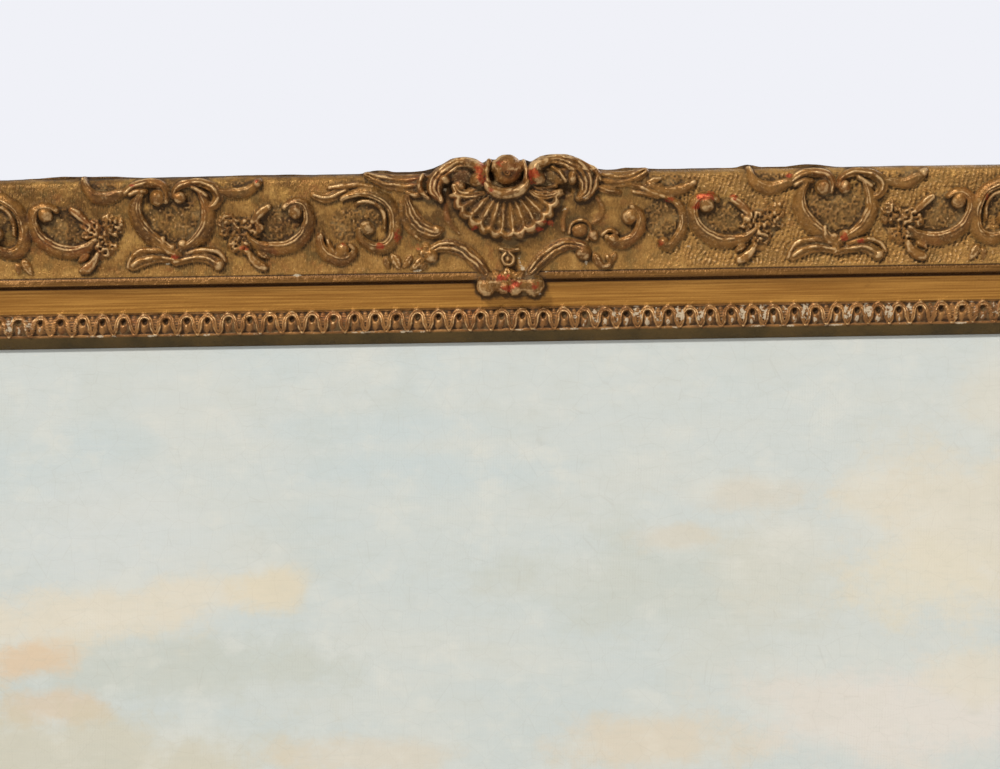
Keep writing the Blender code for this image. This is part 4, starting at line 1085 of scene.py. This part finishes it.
# The gilt's colours
GOLD = srgb(156, 112, 54)
GOLD_BRIGHT = srgb(190, 144, 78)
GOLD_SUNNY = srgb(200, 154, 80)
GOLD_BROWN = srgb(138, 84, 40)
GOLD_DULL = srgb(106, 73, 32)
COPPER = srgb(142, 98, 44)
COPPER_DULL = srgb(92, 60, 26)
COPPER_RED = srgb(142, 76, 38)
OLIVE = srgb(92, 76, 40)
BROAD_HIGHLIGHT = srgb(178, 122, 64)
WEAR_AND_HIGHLIGHT = srgb(222, 182, 126)
UMBER = srgb(44, 25, 2)
DUST = srgb(158, 128, 82)
OUTER_EDGE_DARK = srgb(66, 46, 24)
SEAM_AND_SHADOW_DARK = srgb(44, 22, 2)
BOLE = srgb(150, 42, 22)
BOLE_WORN = srgb(178, 84, 40)
GESSO = srgb(196, 178, 148)
MOULDING_DARK = srgb(104, 68, 26)
MOULDING_LIGHT = srgb(136, 94, 42)
COVE_DARK = srgb(150, 100, 38)
COVE_LIGHT = srgb(188, 134, 60)
RIBBON_LIGHT = srgb(150, 106, 58)
RIBBON_DARK = srgb(112, 74, 38)
# The bevel's dark colours are painted shade on its face, which turns in towards the picture
BEVEL_LIGHT = srgb(88, 68, 34)
BEVEL_DARK = srgb(67, 54, 28)
BACK_LIGHT = srgb(112, 84, 50)
BACK_DARK = srgb(78, 58, 36)

# Dark lines along the mouldings: painted shadow at the step under the fillet, a dark crack at the panel's
# edge, and a dark line at the cove's inner edge: (from, to, softness, strength)
DARK_LINES = (
    (FILLET - 0.2, STEP + 0.7, 0.5, 1.0),
    (PANEL - 0.75, PANEL + 0.15, 0.3, 0.9),
    (COVE - 1.2, COVE - 0.4, 0.4, 0.7),
)


def moulding_colour(n, q, cloudy, blotchy, streak):
    """The colours inside the panel, outwards in: fillet and step, cove, sight edge, and flat and bevel."""
    plain = n.mix(n.ramp(streak, 0.35, 0.7), MOULDING_DARK, MOULDING_LIGHT)
    cove = n.mix(n.ramp(streak, 0.35, 0.7), COVE_DARK, COVE_LIGHT)
    plain = n.mix(n.band(q, STEP, COVE, 0.4), plain, cove)
    ribbon = n.mix(n.ramp(blotchy, 0.35, 0.65), RIBBON_LIGHT, RIBBON_DARK)
    ribbon = n.tints(ribbon, (cloudy, 0.54, 0.7, 0.4, COPPER_RED))
    plain = n.mix(n.ramp(q, COVE - 1.0, COVE), plain, ribbon)
    # The bevel, painted dark as shade
    bevel = n.mix(n.ramp(cloudy, 0.35, 0.7), BEVEL_LIGHT, BEVEL_DARK)
    return n.mix(n.ramp(q, OVOLO - 0.3, OVOLO + 0.6), plain, bevel)


def gilt_material():
    """Old bronze paint over red bole and gesso: brown patina and painted shade in the hollows, copper
    ornament, and rubbed ridges with painted highlights.
    """
    n = Nodes("old gilt")
    place, rail = n.place(), n.place("UV")
    along, q = (n.times(part, 1000.0) for part in n.add("SeparateXYZ", {"Vector": rail}).outputs[:2])
    patina_and_shade, ridge, raised, front = (n.value(name) for name in ("patina_and_shade", "ridge", "raised", "front"))
    cloudy = n.noise(place, 34.0, 4.0, 0.6)
    tinted = n.noise(place, 58.0, 5.0, 0.7)
    blotchy = n.noise(place, 90.0, 3.0, 0.6)
    chips = n.noise(place, 240.0, 6.0, 0.75)
    grime = n.noise(place, 300.0, 4.0, 0.65)
    specks = n.noise(place, 560.0, 3.0, 0.7)
    strokes = n.noise(n.scaled(rail, (900.0, 380.0, 1.0)), 1.0, 3.0, 0.6)
    streak = n.noise(n.scaled(rail, (14.0, 900.0, 1.0)), 1.0, 4.0, 0.6)
    rightwards = n.ramp(along, 40.0, 120.0)
    moulding = n.ramp(q, PANEL - 0.6, PANEL + 0.1)
    off_ornament = n.inverse(raised)
    # Painted shade: the panel's gold duller towards the outer edge and brighter inwards
    painted_shade_outwards = n.plus(cloudy, n.times(n.ramp(q, 8.0, 56.0), -0.12))
    ground = n.tints(
        n.mix(n.ramp(painted_shade_outwards, 0.36, 0.62), GOLD, GOLD_DULL),
        (blotchy, 0.5, 0.68, 0.65, GOLD_BRIGHT),
        (tinted, 0.54, 0.68, 0.55, GOLD_SUNNY),
        (tinted, 0.45, 0.33, 0.55, GOLD_BROWN),
        (blotchy, 0.48, 0.34, 0.55, OLIVE),
        (strokes, 0.54, 0.68, 0.4, GOLD_BRIGHT),
        (strokes, 0.47, 0.34, 0.42, GOLD_DULL),
    )
    ground = n.mix(n.times(rightwards, 0.34), ground, GOLD_BRIGHT)
    copper = n.mix(n.ramp(blotchy, 0.38, 0.62), COPPER, COPPER_DULL)
    copper = n.tints(copper, (cloudy, 0.54, 0.7, 0.45, COPPER_RED), (cloudy, 0.46, 0.34, 0.4, OLIVE))
    copper = n.mix(n.times(rightwards, 0.25), copper, GOLD)
    colour = n.mix(raised, ground, copper)
    plain = moulding_colour(n, q, cloudy, blotchy, streak)
    colour = n.mix(n.times(moulding, off_ornament), colour, plain)
    # Darker along the outer edge
    edge = n.ramp(n.plus(q, n.times(blotchy, 4.0)), 3.6, 2.0, 0.0, 0.75)
    colour = n.mix(n.times(edge, n.inverse(n.times(raised, 0.9))), colour, OUTER_EDGE_DARK)
    # The painted shadow under the fillet, and the dark crack and line along the mouldings
    seam_and_shadow = 0.0
    for low, high, soft, strength in DARK_LINES:
        seam_and_shadow = n.math("MAXIMUM", seam_and_shadow, n.times(n.band(q, low, high, soft), strength))
    colour = n.mix(n.times(seam_and_shadow, off_ornament), colour, SEAM_AND_SHADOW_DARK)
    # Umber patina in the hollows, with painted shade and painted shadow from the same map
    dark = n.jitter(patina_and_shade, grime, 0.4)
    colour = n.tints(colour, (dark, 0.1, 0.7, 0.88, UMBER))
    dusty = n.times(n.ramp(patina_and_shade, 0.26, 0.5), n.ramp(blotchy, 0.54, 0.64, 0.0, 0.3))
    colour = n.mix(dusty, colour, DUST)
    # Dark specks, and bright specks that are painted glints, over the ornament
    uneven = n.times(raised, 0.32)
    colour = n.mix(n.times(n.ramp(specks, 0.46, 0.34), uneven), colour, UMBER)
    colour = n.mix(n.times(n.ramp(specks, 0.56, 0.68), uneven), colour, WEAR_AND_HIGHLIGHT)
    # Painted highlights: a broad warm one on convex tops, and a bright one on the ridges that also stands for
    # rubbed wear, broken up by noise
    kept = n.ramp(n.noise(place, 130.0, 2.0, 0.6), 0.36, 0.56, 0.4, 1.0)
    worn = n.jitter(n.times(ridge, kept), grime, 1.6)
    colour = n.tints(colour, (ridge, 0.1, 0.6, 0.22, BROAD_HIGHLIGHT), (worn, 0.55, 1.25, 0.75, WEAR_AND_HIGHLIGHT))
    bole = n.ramp(n.jitter(n.value("bole"), chips, 3.0), 0.5, 0.95)
    colour = n.mix(n.times(bole, 0.85), colour, n.mix(n.ramp(grime, 0.44, 0.6), BOLE, BOLE_WORN))
    gesso = n.ramp(n.jitter(n.value("gesso"), chips, 2.4), 0.52, 0.8)
    colour = n.mix(n.times(gesso, 0.78), colour, GESSO)
    colour = n.mix(n.inverse(front), colour, n.mix(cloudy, BACK_LIGHT, BACK_DARK))
    gloss = n.times(n.inverse(gesso), front)
    n.set(Base_Color=colour, Specular_IOR_Level=0.3)
    n.set(Metallic=n.times(gloss, n.ramp(dark, 0.0, 0.5, 0.5, 0.1)))
    n.set(Roughness=n.ramp(n.plus(dark, n.times(gesso, 0.5)), -0.3, 0.5, 0.24, 0.7))
    bare = n.times(off_ornament, n.inverse(moulding))
    n.bump(
        (n.times(strokes, bare), 0.0009, 0.8),
        (streak, 0.0003, n.times(moulding, 0.6)),
        (blotchy, 0.0012, n.times(raised, 0.6)),
        (n.noise(place, 620.0, 3.0, 0.6), 0.0006, 0.8),
    )
    return n.material


# The other materials
WOOD_LIGHT = srgb(188, 154, 106)
WOOD_DARK = srgb(170, 134, 88)
WOOD_GRAIN = srgb(120, 88, 54)
WOOD_STAIN = srgb(104, 80, 54)
STEEL = srgb(120, 112, 104)
RUST = srgb(84, 52, 34)
LINEN_DARK = srgb(128, 106, 76)
LINEN_LIGHT = srgb(184, 162, 124)
LINEN_SLUB = srgb(150, 126, 92)
LINEN_STAIN = srgb(118, 92, 60)


def stretcher_material(name, stretch):
    """Planed softwood, stretched along its grain and stained with age."""
    n = Nodes(name)
    place = n.scaled(n.place(), stretch)
    grain = n.noise(place, 11.0, 5.0, 0.6)
    wave = {"Vector": place, "Scale": 9.0, "Distortion": 4.0, "Detail": 4.0, "Detail Scale": 1.4}
    rings = n.add("TexWave", wave, bands_direction="DIAGONAL").outputs["Fac"]
    stains = n.noise(n.place(), 7.0, 3.0)
    colour = n.mix(n.ramp(rings, 0.2, 0.9), WOOD_LIGHT, WOOD_DARK)
    colour = n.tints(colour, (grain, 0.45, 0.72, 0.8, WOOD_GRAIN), (stains, 0.45, 0.75, 0.5, WOOD_STAIN))
    n.set(Base_Color=colour, Roughness=0.8)
    n.bump((grain, 0.0004, 0.6))
    return n.material


def steel_material():
    """Dull steel with spots of rust."""
    n = Nodes("pin steel")
    spots = n.noise(n.place(), 900.0, 4.0, 0.7)
    n.set(Base_Color=n.mix(n.ramp(spots, 0.45, 0.65), STEEL, RUST))
    n.set(Metallic=n.ramp(spots, 0.45, 0.65, 0.9, 0.2))
    n.set(Roughness=n.ramp(spots, 0.4, 0.7, 0.38, 0.75))
    n.bump((spots, 0.0001, 0.5))
    return n.material


def linen_material():
    """Raw linen, brown with age, on the canvas's back and turned edges."""
    n = Nodes("raw linen")
    place = n.place()
    weave = n.weave(place, Scale=380.0, Distortion=1.2, Detail=2.0, Detail_Scale=0.4)
    slubs = n.noise(n.scaled(place, (20.0, 1.0, 300.0)), 1.0, 3.0)
    stains = n.noise(place, 4.0, 4.0, 0.6)
    colour = n.mix(weave, LINEN_DARK, LINEN_LIGHT)
    colour = n.tints(colour, (slubs, 0.5, 0.8, 0.6, LINEN_SLUB), (stains, 0.5, 0.75, 0.6, LINEN_STAIN))
    n.set(Base_Color=colour, Roughness=0.92)
    n.bump((weave, 0.0003, 0.8))
    return n.material


# The picture's colours
SKY_HIGH = srgb(199, 203, 197)
SKY_LOW = srgb(193, 199, 194)
SKY_GREY = srgb(204, 204, 194)
SKY_BLUE = srgb(186, 199, 200)
SKY_DIM = srgb(189, 191, 178)
SKY_MOTTLED = srgb(186, 182, 160)
CLOUD = srgb(214, 205, 185)
CLOUD_WARM = srgb(211, 197, 173)
CLOUD_PEACH = srgb(213, 186, 152)
CLOUD_LIT = srgb(226, 219, 202)
STROKE_LIGHT = srgb(212, 210, 198)
STROKE_DARK = srgb(176, 180, 168)
HAZE = srgb(168, 168, 148)
LAND_LIGHT = srgb(130, 126, 90)
LAND_DARK = srgb(100, 98, 70)
PICTURE_DIRT = srgb(166, 160, 136)
CRACK = srgb(140, 128, 104)

# The picture: a pale sky, generic cloud banks and a low hazy horizon. Each area has (x, z, half width, half
# height, strength, colour), with x and z from the frame's own origin, in metres
CLOUDS = (
    (-0.25, -0.165, 0.08, 0.04, 0.45, srgb(206, 208, 203)),
    (-0.25, -0.11, 0.04, 0.015, 0.4, SKY_BLUE),
    (-0.08, -0.105, 0.08, 0.012, 0.35, SKY_BLUE),
    (-0.04, -0.13, 0.09, 0.014, 0.35, SKY_BLUE),
    (0.11, -0.205, 0.12, 0.035, 0.5, SKY_DIM),
    (-0.23, -0.25, 0.12, 0.025, 0.6, SKY_DIM),
    (0.19, -0.24, 0.12, 0.03, 0.5, SKY_GREY),
    (0.275, -0.175, 0.085, 0.06, 0.85, CLOUD),
    (0.22, -0.15, 0.03, 0.022, 0.6, CLOUD),
    (0.305, -0.095, 0.035, 0.04, 0.5, CLOUD),
    (0.25, -0.20, 0.05, 0.03, 0.5, srgb(217, 207, 182)),
    (0.145, -0.146, 0.05, 0.014, 0.5, CLOUD_WARM),
    (0.10, -0.175, 0.025, 0.01, 0.5, CLOUD_WARM),
    (0.165, -0.19, 0.05, 0.03, 0.35, CLOUD),
    (-0.34, -0.225, 0.10, 0.03, 0.9, CLOUD),
    (-0.25, -0.215, 0.075, 0.018, 0.95, CLOUD),
    (-0.195, -0.205, 0.04, 0.015, 0.9, CLOUD),
    (-0.15, -0.203, 0.024, 0.014, 0.9, srgb(215, 203, 177)),
    (-0.30, -0.243, 0.035, 0.014, 0.8, CLOUD_PEACH),
    (-0.28, -0.272, 0.035, 0.013, 0.6, CLOUD_PEACH),
    (-0.28, -0.31, 0.16, 0.04, 0.6, srgb(201, 190, 162)),
    (-0.09, -0.305, 0.07, 0.014, 0.6, CLOUD_WARM),
    (0.085, -0.30, 0.08, 0.02, 0.8, CLOUD_WARM),
    (0.25, -0.285, 0.11, 0.035, 0.9, srgb(215, 207, 195)),
    (0.28, -0.262, 0.04, 0.02, 0.7, CLOUD),
    (0.05, -0.37, 0.30, 0.04, 0.8, CLOUD),
    (0.28, -0.43, 0.24, 0.04, 0.7, CLOUD_WARM),
    (-0.26, -0.47, 0.22, 0.035, 0.6, CLOUD_WARM),
)


def area(n, place, x, z, wide, tall, puffs):
    """A soft-edged oval area of the picture, its edge broken up by cloud shapes."""
    centred = n.add("VectorMath", {0: place, 1: (x, 0.0, z)}, operation="SUBTRACT").outputs["Vector"]
    squeeze = {0: centred, 1: (1 / wide, 0.0, 1 / tall)}
    squeezed = n.add("VectorMath", squeeze, operation="MULTIPLY").outputs["Vector"]
    away = n.add("VectorMath", {0: squeezed}, operation="LENGTH").outputs["Value"]
    return n.ramp(n.jitter(away, puffs, 2.6), 1.2, 0.35)


def paint_material():
    """Oil paint: broad clouds over a low hazy horizon, with brush marks, weave and fine cracks."""
    n = Nodes("oil paint")
    place = n.place()
    z = n.add("SeparateXYZ", {"Vector": place}).outputs["Z"]
    streaks = n.noise(n.scaled(place, (1.6, 1.0, 7.0)), 5.0, 5.0, 0.55)
    patches = n.noise(n.scaled(place, (1.0, 1.0, 1.8)), 6.0, 4.0, 0.6)
    puffs = n.noise(n.scaled(place, (1.0, 1.0, 1.3)), 19.0, 8.0, 0.7)
    lit = n.noise(n.scaled(place, (1.0, 1.0, 1.3)), 38.0, 5.0, 0.6)
    hatch = n.noise(n.scaled(place, (5.0, 1.0, 30.0)), 11.0, 6.0, 0.7)
    fields = n.noise(n.scaled(place, (1.2, 1.0, 9.0)), 7.0, 4.0, 0.6)
    brush = n.noise(n.scaled(place, (30.0, 1.0, 90.0)), 4.0, 4.0, 0.6)
    grime = n.noise(place, 90.0, 4.0, 0.7)
    colour = n.mix(n.ramp(z, -0.33, -0.06), SKY_LOW, SKY_HIGH)
    colour = n.tints(colour, (streaks, 0.35, 0.75, 0.7, SKY_GREY), (patches, 0.5, 0.75, 0.45, SKY_BLUE))
    for x, high, wide, tall, share, shade in CLOUDS:
        cover = n.times(area(n, place, x, high, wide, tall, puffs), share)
        colour = n.mix(cover, colour, shade)
    colour = n.tints(
        colour,
        (puffs, 0.5, 0.36, 0.1, SKY_MOTTLED),
        (lit, 0.5, 0.7, 0.2, CLOUD_LIT),
        (hatch, 0.5, 0.72, 0.16, STROKE_LIGHT),
        (hatch, 0.5, 0.3, 0.14, STROKE_DARK),
    )
    colour = n.mix(n.ramp(n.jitter(z, streaks, 0.02), -0.52, -0.56), colour, HAZE)
    land = n.mix(n.ramp(fields, 0.35, 0.65), LAND_LIGHT, LAND_DARK)
    colour = n.mix(n.ramp(n.jitter(z, patches, 0.03), -0.572, -0.585), colour, land)
    colour = n.tints(colour, (grime, 0.5, 0.8, 0.07, PICTURE_DIRT))
    cells = {"Vector": place, "Scale": 75.0, "Randomness": 0.9}
    gap = n.add("TexVoronoi", cells, feature="DISTANCE_TO_EDGE").outputs["Distance"]
    colour = n.mix(n.times(n.inverse(n.ramp(gap, 0.0, 0.02)), 0.09), colour, CRACK)
    n.set(Base_Color=colour, Roughness=n.ramp(brush, 0.3, 0.7, 0.5, 0.62))
    weave = n.weave(place, Scale=330.0, Distortion=1.0, Detail=1.0)
    n.bump((weave, 0.00012, 0.5), (brush, 0.0002, 0.5))
    return n.material


CANVAS_THICKNESS = 1.0 * MM
CANVAS_SLACK = 0.25 * MM
CANVAS_COLUMNS = 120
CANVAS_ROWS = 90


def add_canvas(paint, linen):
    """The canvas: a slightly slack painted face, turned over the stretcher's edges, raw linen at the back."""
    low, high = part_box("canvas")
    thickness, columns, rows = CANVAS_THICKNESS, CANVAS_COLUMNS, CANVAS_ROWS
    xs, zs = np.linspace(low.x, high.x, columns), np.linspace(low.z, high.z, rows)
    x, z = np.meshgrid(xs, zs)
    rim = np.minimum(np.minimum(x - low.x, high.x - x), np.minimum(z - low.z, high.z - z)) / 0.05
    slack = CANVAS_SLACK * np.clip(rim, 0, 1) * (0.5 + 0.5 * noise(x / MM, z / MM, 90, 5, 2))
    front = np.stack([x, low.y + slack, z], -1)
    back_x = np.clip(x, low.x + thickness, high.x - thickness)
    back_z = np.clip(z, low.z + thickness, high.z - thickness)
    back = np.stack([back_x, low.y + slack + thickness, back_z], -1)
    order = np.arange(rows * columns).reshape(rows, columns)
    rim_index = np.concatenate([order[0, :-1], order[:-1, -1], order[-1, :0:-1], order[:0:-1, 0]])
    faces_out = [front.reshape(-1, 3), back.reshape(-1, 3)]
    tails = [side[rim_index] * (1, 0, 1) + (0, high.y, 0) for side in faces_out]
    verts = np.vstack(faces_out + tails)
    count, loop = rows * columns, len(rim_index)
    face = np.stack([order[:-1, :-1], order[:-1, 1:], order[1:, 1:], order[1:, :-1]], -1).reshape(-1, 4)
    around = np.arange(loop)
    ahead = np.roll(around, -1)
    outer, inner = 2 * count + around, 2 * count + loop + around
    outer_ahead, inner_ahead = 2 * count + ahead, 2 * count + loop + ahead
    edge = np.stack([rim_index, outer, outer_ahead, rim_index[ahead]], -1)
    lining = np.stack([count + rim_index, count + rim_index[ahead], inner_ahead, inner], -1)
    hem = np.stack([outer, inner, inner_ahead, outer_ahead], -1)
    mesh = bpy.data.meshes.new("canvas_painted")
    faces = np.vstack([face, count + face[:, ::-1], edge, lining, hem])
    mesh.from_pydata(verts.tolist(), [], faces.tolist())
    for material in (paint, linen):
        mesh.materials.append(material)
    mesh.polygons.foreach_set("material_index", (np.arange(len(faces)) >= len(face)).astype(np.int32))
    mesh.shade_smooth()
    mesh.set_sharp_from_angle(angle=math.radians(40))
    piece = add_piece("canvas_painted", mesh)
    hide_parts("canvas")
    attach(piece, "root")


# Camera, light and floor. The photo looks straight at the top rail, from a little below it
CAMERA_DISTANCE = 1.5
VIEW_WIDTH = 0.6
CAMERA_X = -0.006
CAMERA_DROP = 0.128
CAMERA_ROLL = math.radians(0.92)
SENSOR = 36.0
BACKDROP = srgb(240, 241, 247)
FILL_COLOUR = (1.0, 0.97, 0.93, 1.0)
FILL_STRENGTH = 0.42
FLOOR_COLOUR = srgb(228, 229, 233)
FLOOR_HALF = 6.0
# Each sun as (name, the direction it shines from, strength, softness in degrees)
SUNS = (("key", (-0.45, -0.8, 0.75), 2.6, 7.0), ("back", (0.5, 0.8, 0.5), 0.45, 30.0))


def add_camera():
    """The photo's view: square to the frame, a little turned about its own axis."""
    camera = bpy.data.cameras.new("camera")
    camera.sensor_width = SENSOR
    camera.lens = SENSOR * CAMERA_DISTANCE / VIEW_WIDTH
    placed_camera = bpy.data.objects.new("camera", camera)
    edge_z = FRAME_CENTRE_Z + FRAME_HEIGHT / 2 * MM
    depth = PANEL_DEPTH * MM
    place = Vector((CAMERA_X, -depth - CAMERA_DISTANCE, edge_z - CAMERA_DROP))
    facing = Matrix.Rotation(math.pi / 2, 4, "X") @ Matrix.Rotation(-CAMERA_ROLL, 4, "Z")
    placed_camera.matrix_world = Matrix.Translation(place) @ facing
    bpy.context.scene.collection.objects.link(placed_camera)
    bpy.context.scene.camera = placed_camera


def add_sun(name, come_from, strength, softness):
    """Even light from one side, with soft-edged shadows."""
    light = bpy.data.lights.new(name, "SUN")
    light.energy = strength
    light.angle = math.radians(softness)
    made = bpy.data.objects.new(name, light)
    made.rotation_euler = Vector(come_from).to_track_quat("Z", "Y").to_euler()
    bpy.context.scene.collection.objects.link(made)


def add_world():
    """A pale backdrop for the camera, and softer light from all round."""
    world = bpy.data.worlds.new("studio")
    world.use_nodes = True
    tree = world.node_tree
    backdrop = tree.nodes["Background"]
    backdrop.inputs["Color"].default_value = BACKDROP
    backdrop.inputs["Strength"].default_value = 1.0
    fill = tree.nodes.new("ShaderNodeBackground")
    fill.inputs["Color"].default_value = FILL_COLOUR
    fill.inputs["Strength"].default_value = FILL_STRENGTH
    path = tree.nodes.new("ShaderNodeLightPath")
    mix = tree.nodes.new("ShaderNodeMixShader")
    tree.links.new(path.outputs["Is Camera Ray"], mix.inputs[0])
    tree.links.new(fill.outputs[0], mix.inputs[1])
    tree.links.new(backdrop.outputs[0], mix.inputs[2])
    tree.links.new(mix.outputs[0], tree.nodes["World Output"].inputs["Surface"])
    bpy.context.scene.world = world


def add_floor():
    """A plain pale floor, just below the lower crest."""
    mesh = bpy.data.meshes.new("floor")
    level = FRAME_CENTRE_Z - (FRAME_HEIGHT / 2 + CREST_LIMIT + 1) * MM
    corners = [(x * FLOOR_HALF, y * FLOOR_HALF, level) for x, y in ((-1, -1), (1, -1), (1, 1), (-1, 1))]
    mesh.from_pydata(corners, [], [(0, 1, 2, 3)])
    n = Nodes("floor")
    n.set(Base_Color=FLOOR_COLOUR, Roughness=0.9)
    mesh.materials.append(n.material)
    add_piece("floor", mesh)


def main():
    gilt = gilt_material()
    for side in SIDES:
        add_rail(side, gilt)
    add_canvas(paint_material(), linen_material())
    level = stretcher_material("stretcher pine, level", (1.0, 16.0, 16.0))
    upright = stretcher_material("stretcher pine, upright", (16.0, 16.0, 1.0))
    steel = steel_material()
    for name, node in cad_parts.items():
        if name.startswith(("stretcher", "canvas_pin")):
            wood = level if "top" in name or "bottom" in name else upright
            node.data.materials.clear()
            node.data.materials.append(steel if name.startswith("canvas_pin") else wood)
    add_world()
    add_floor()
    add_camera()
    for sun in SUNS:
        add_sun(*sun)
    bpy.context.scene.view_settings.view_transform = "Standard"


main()
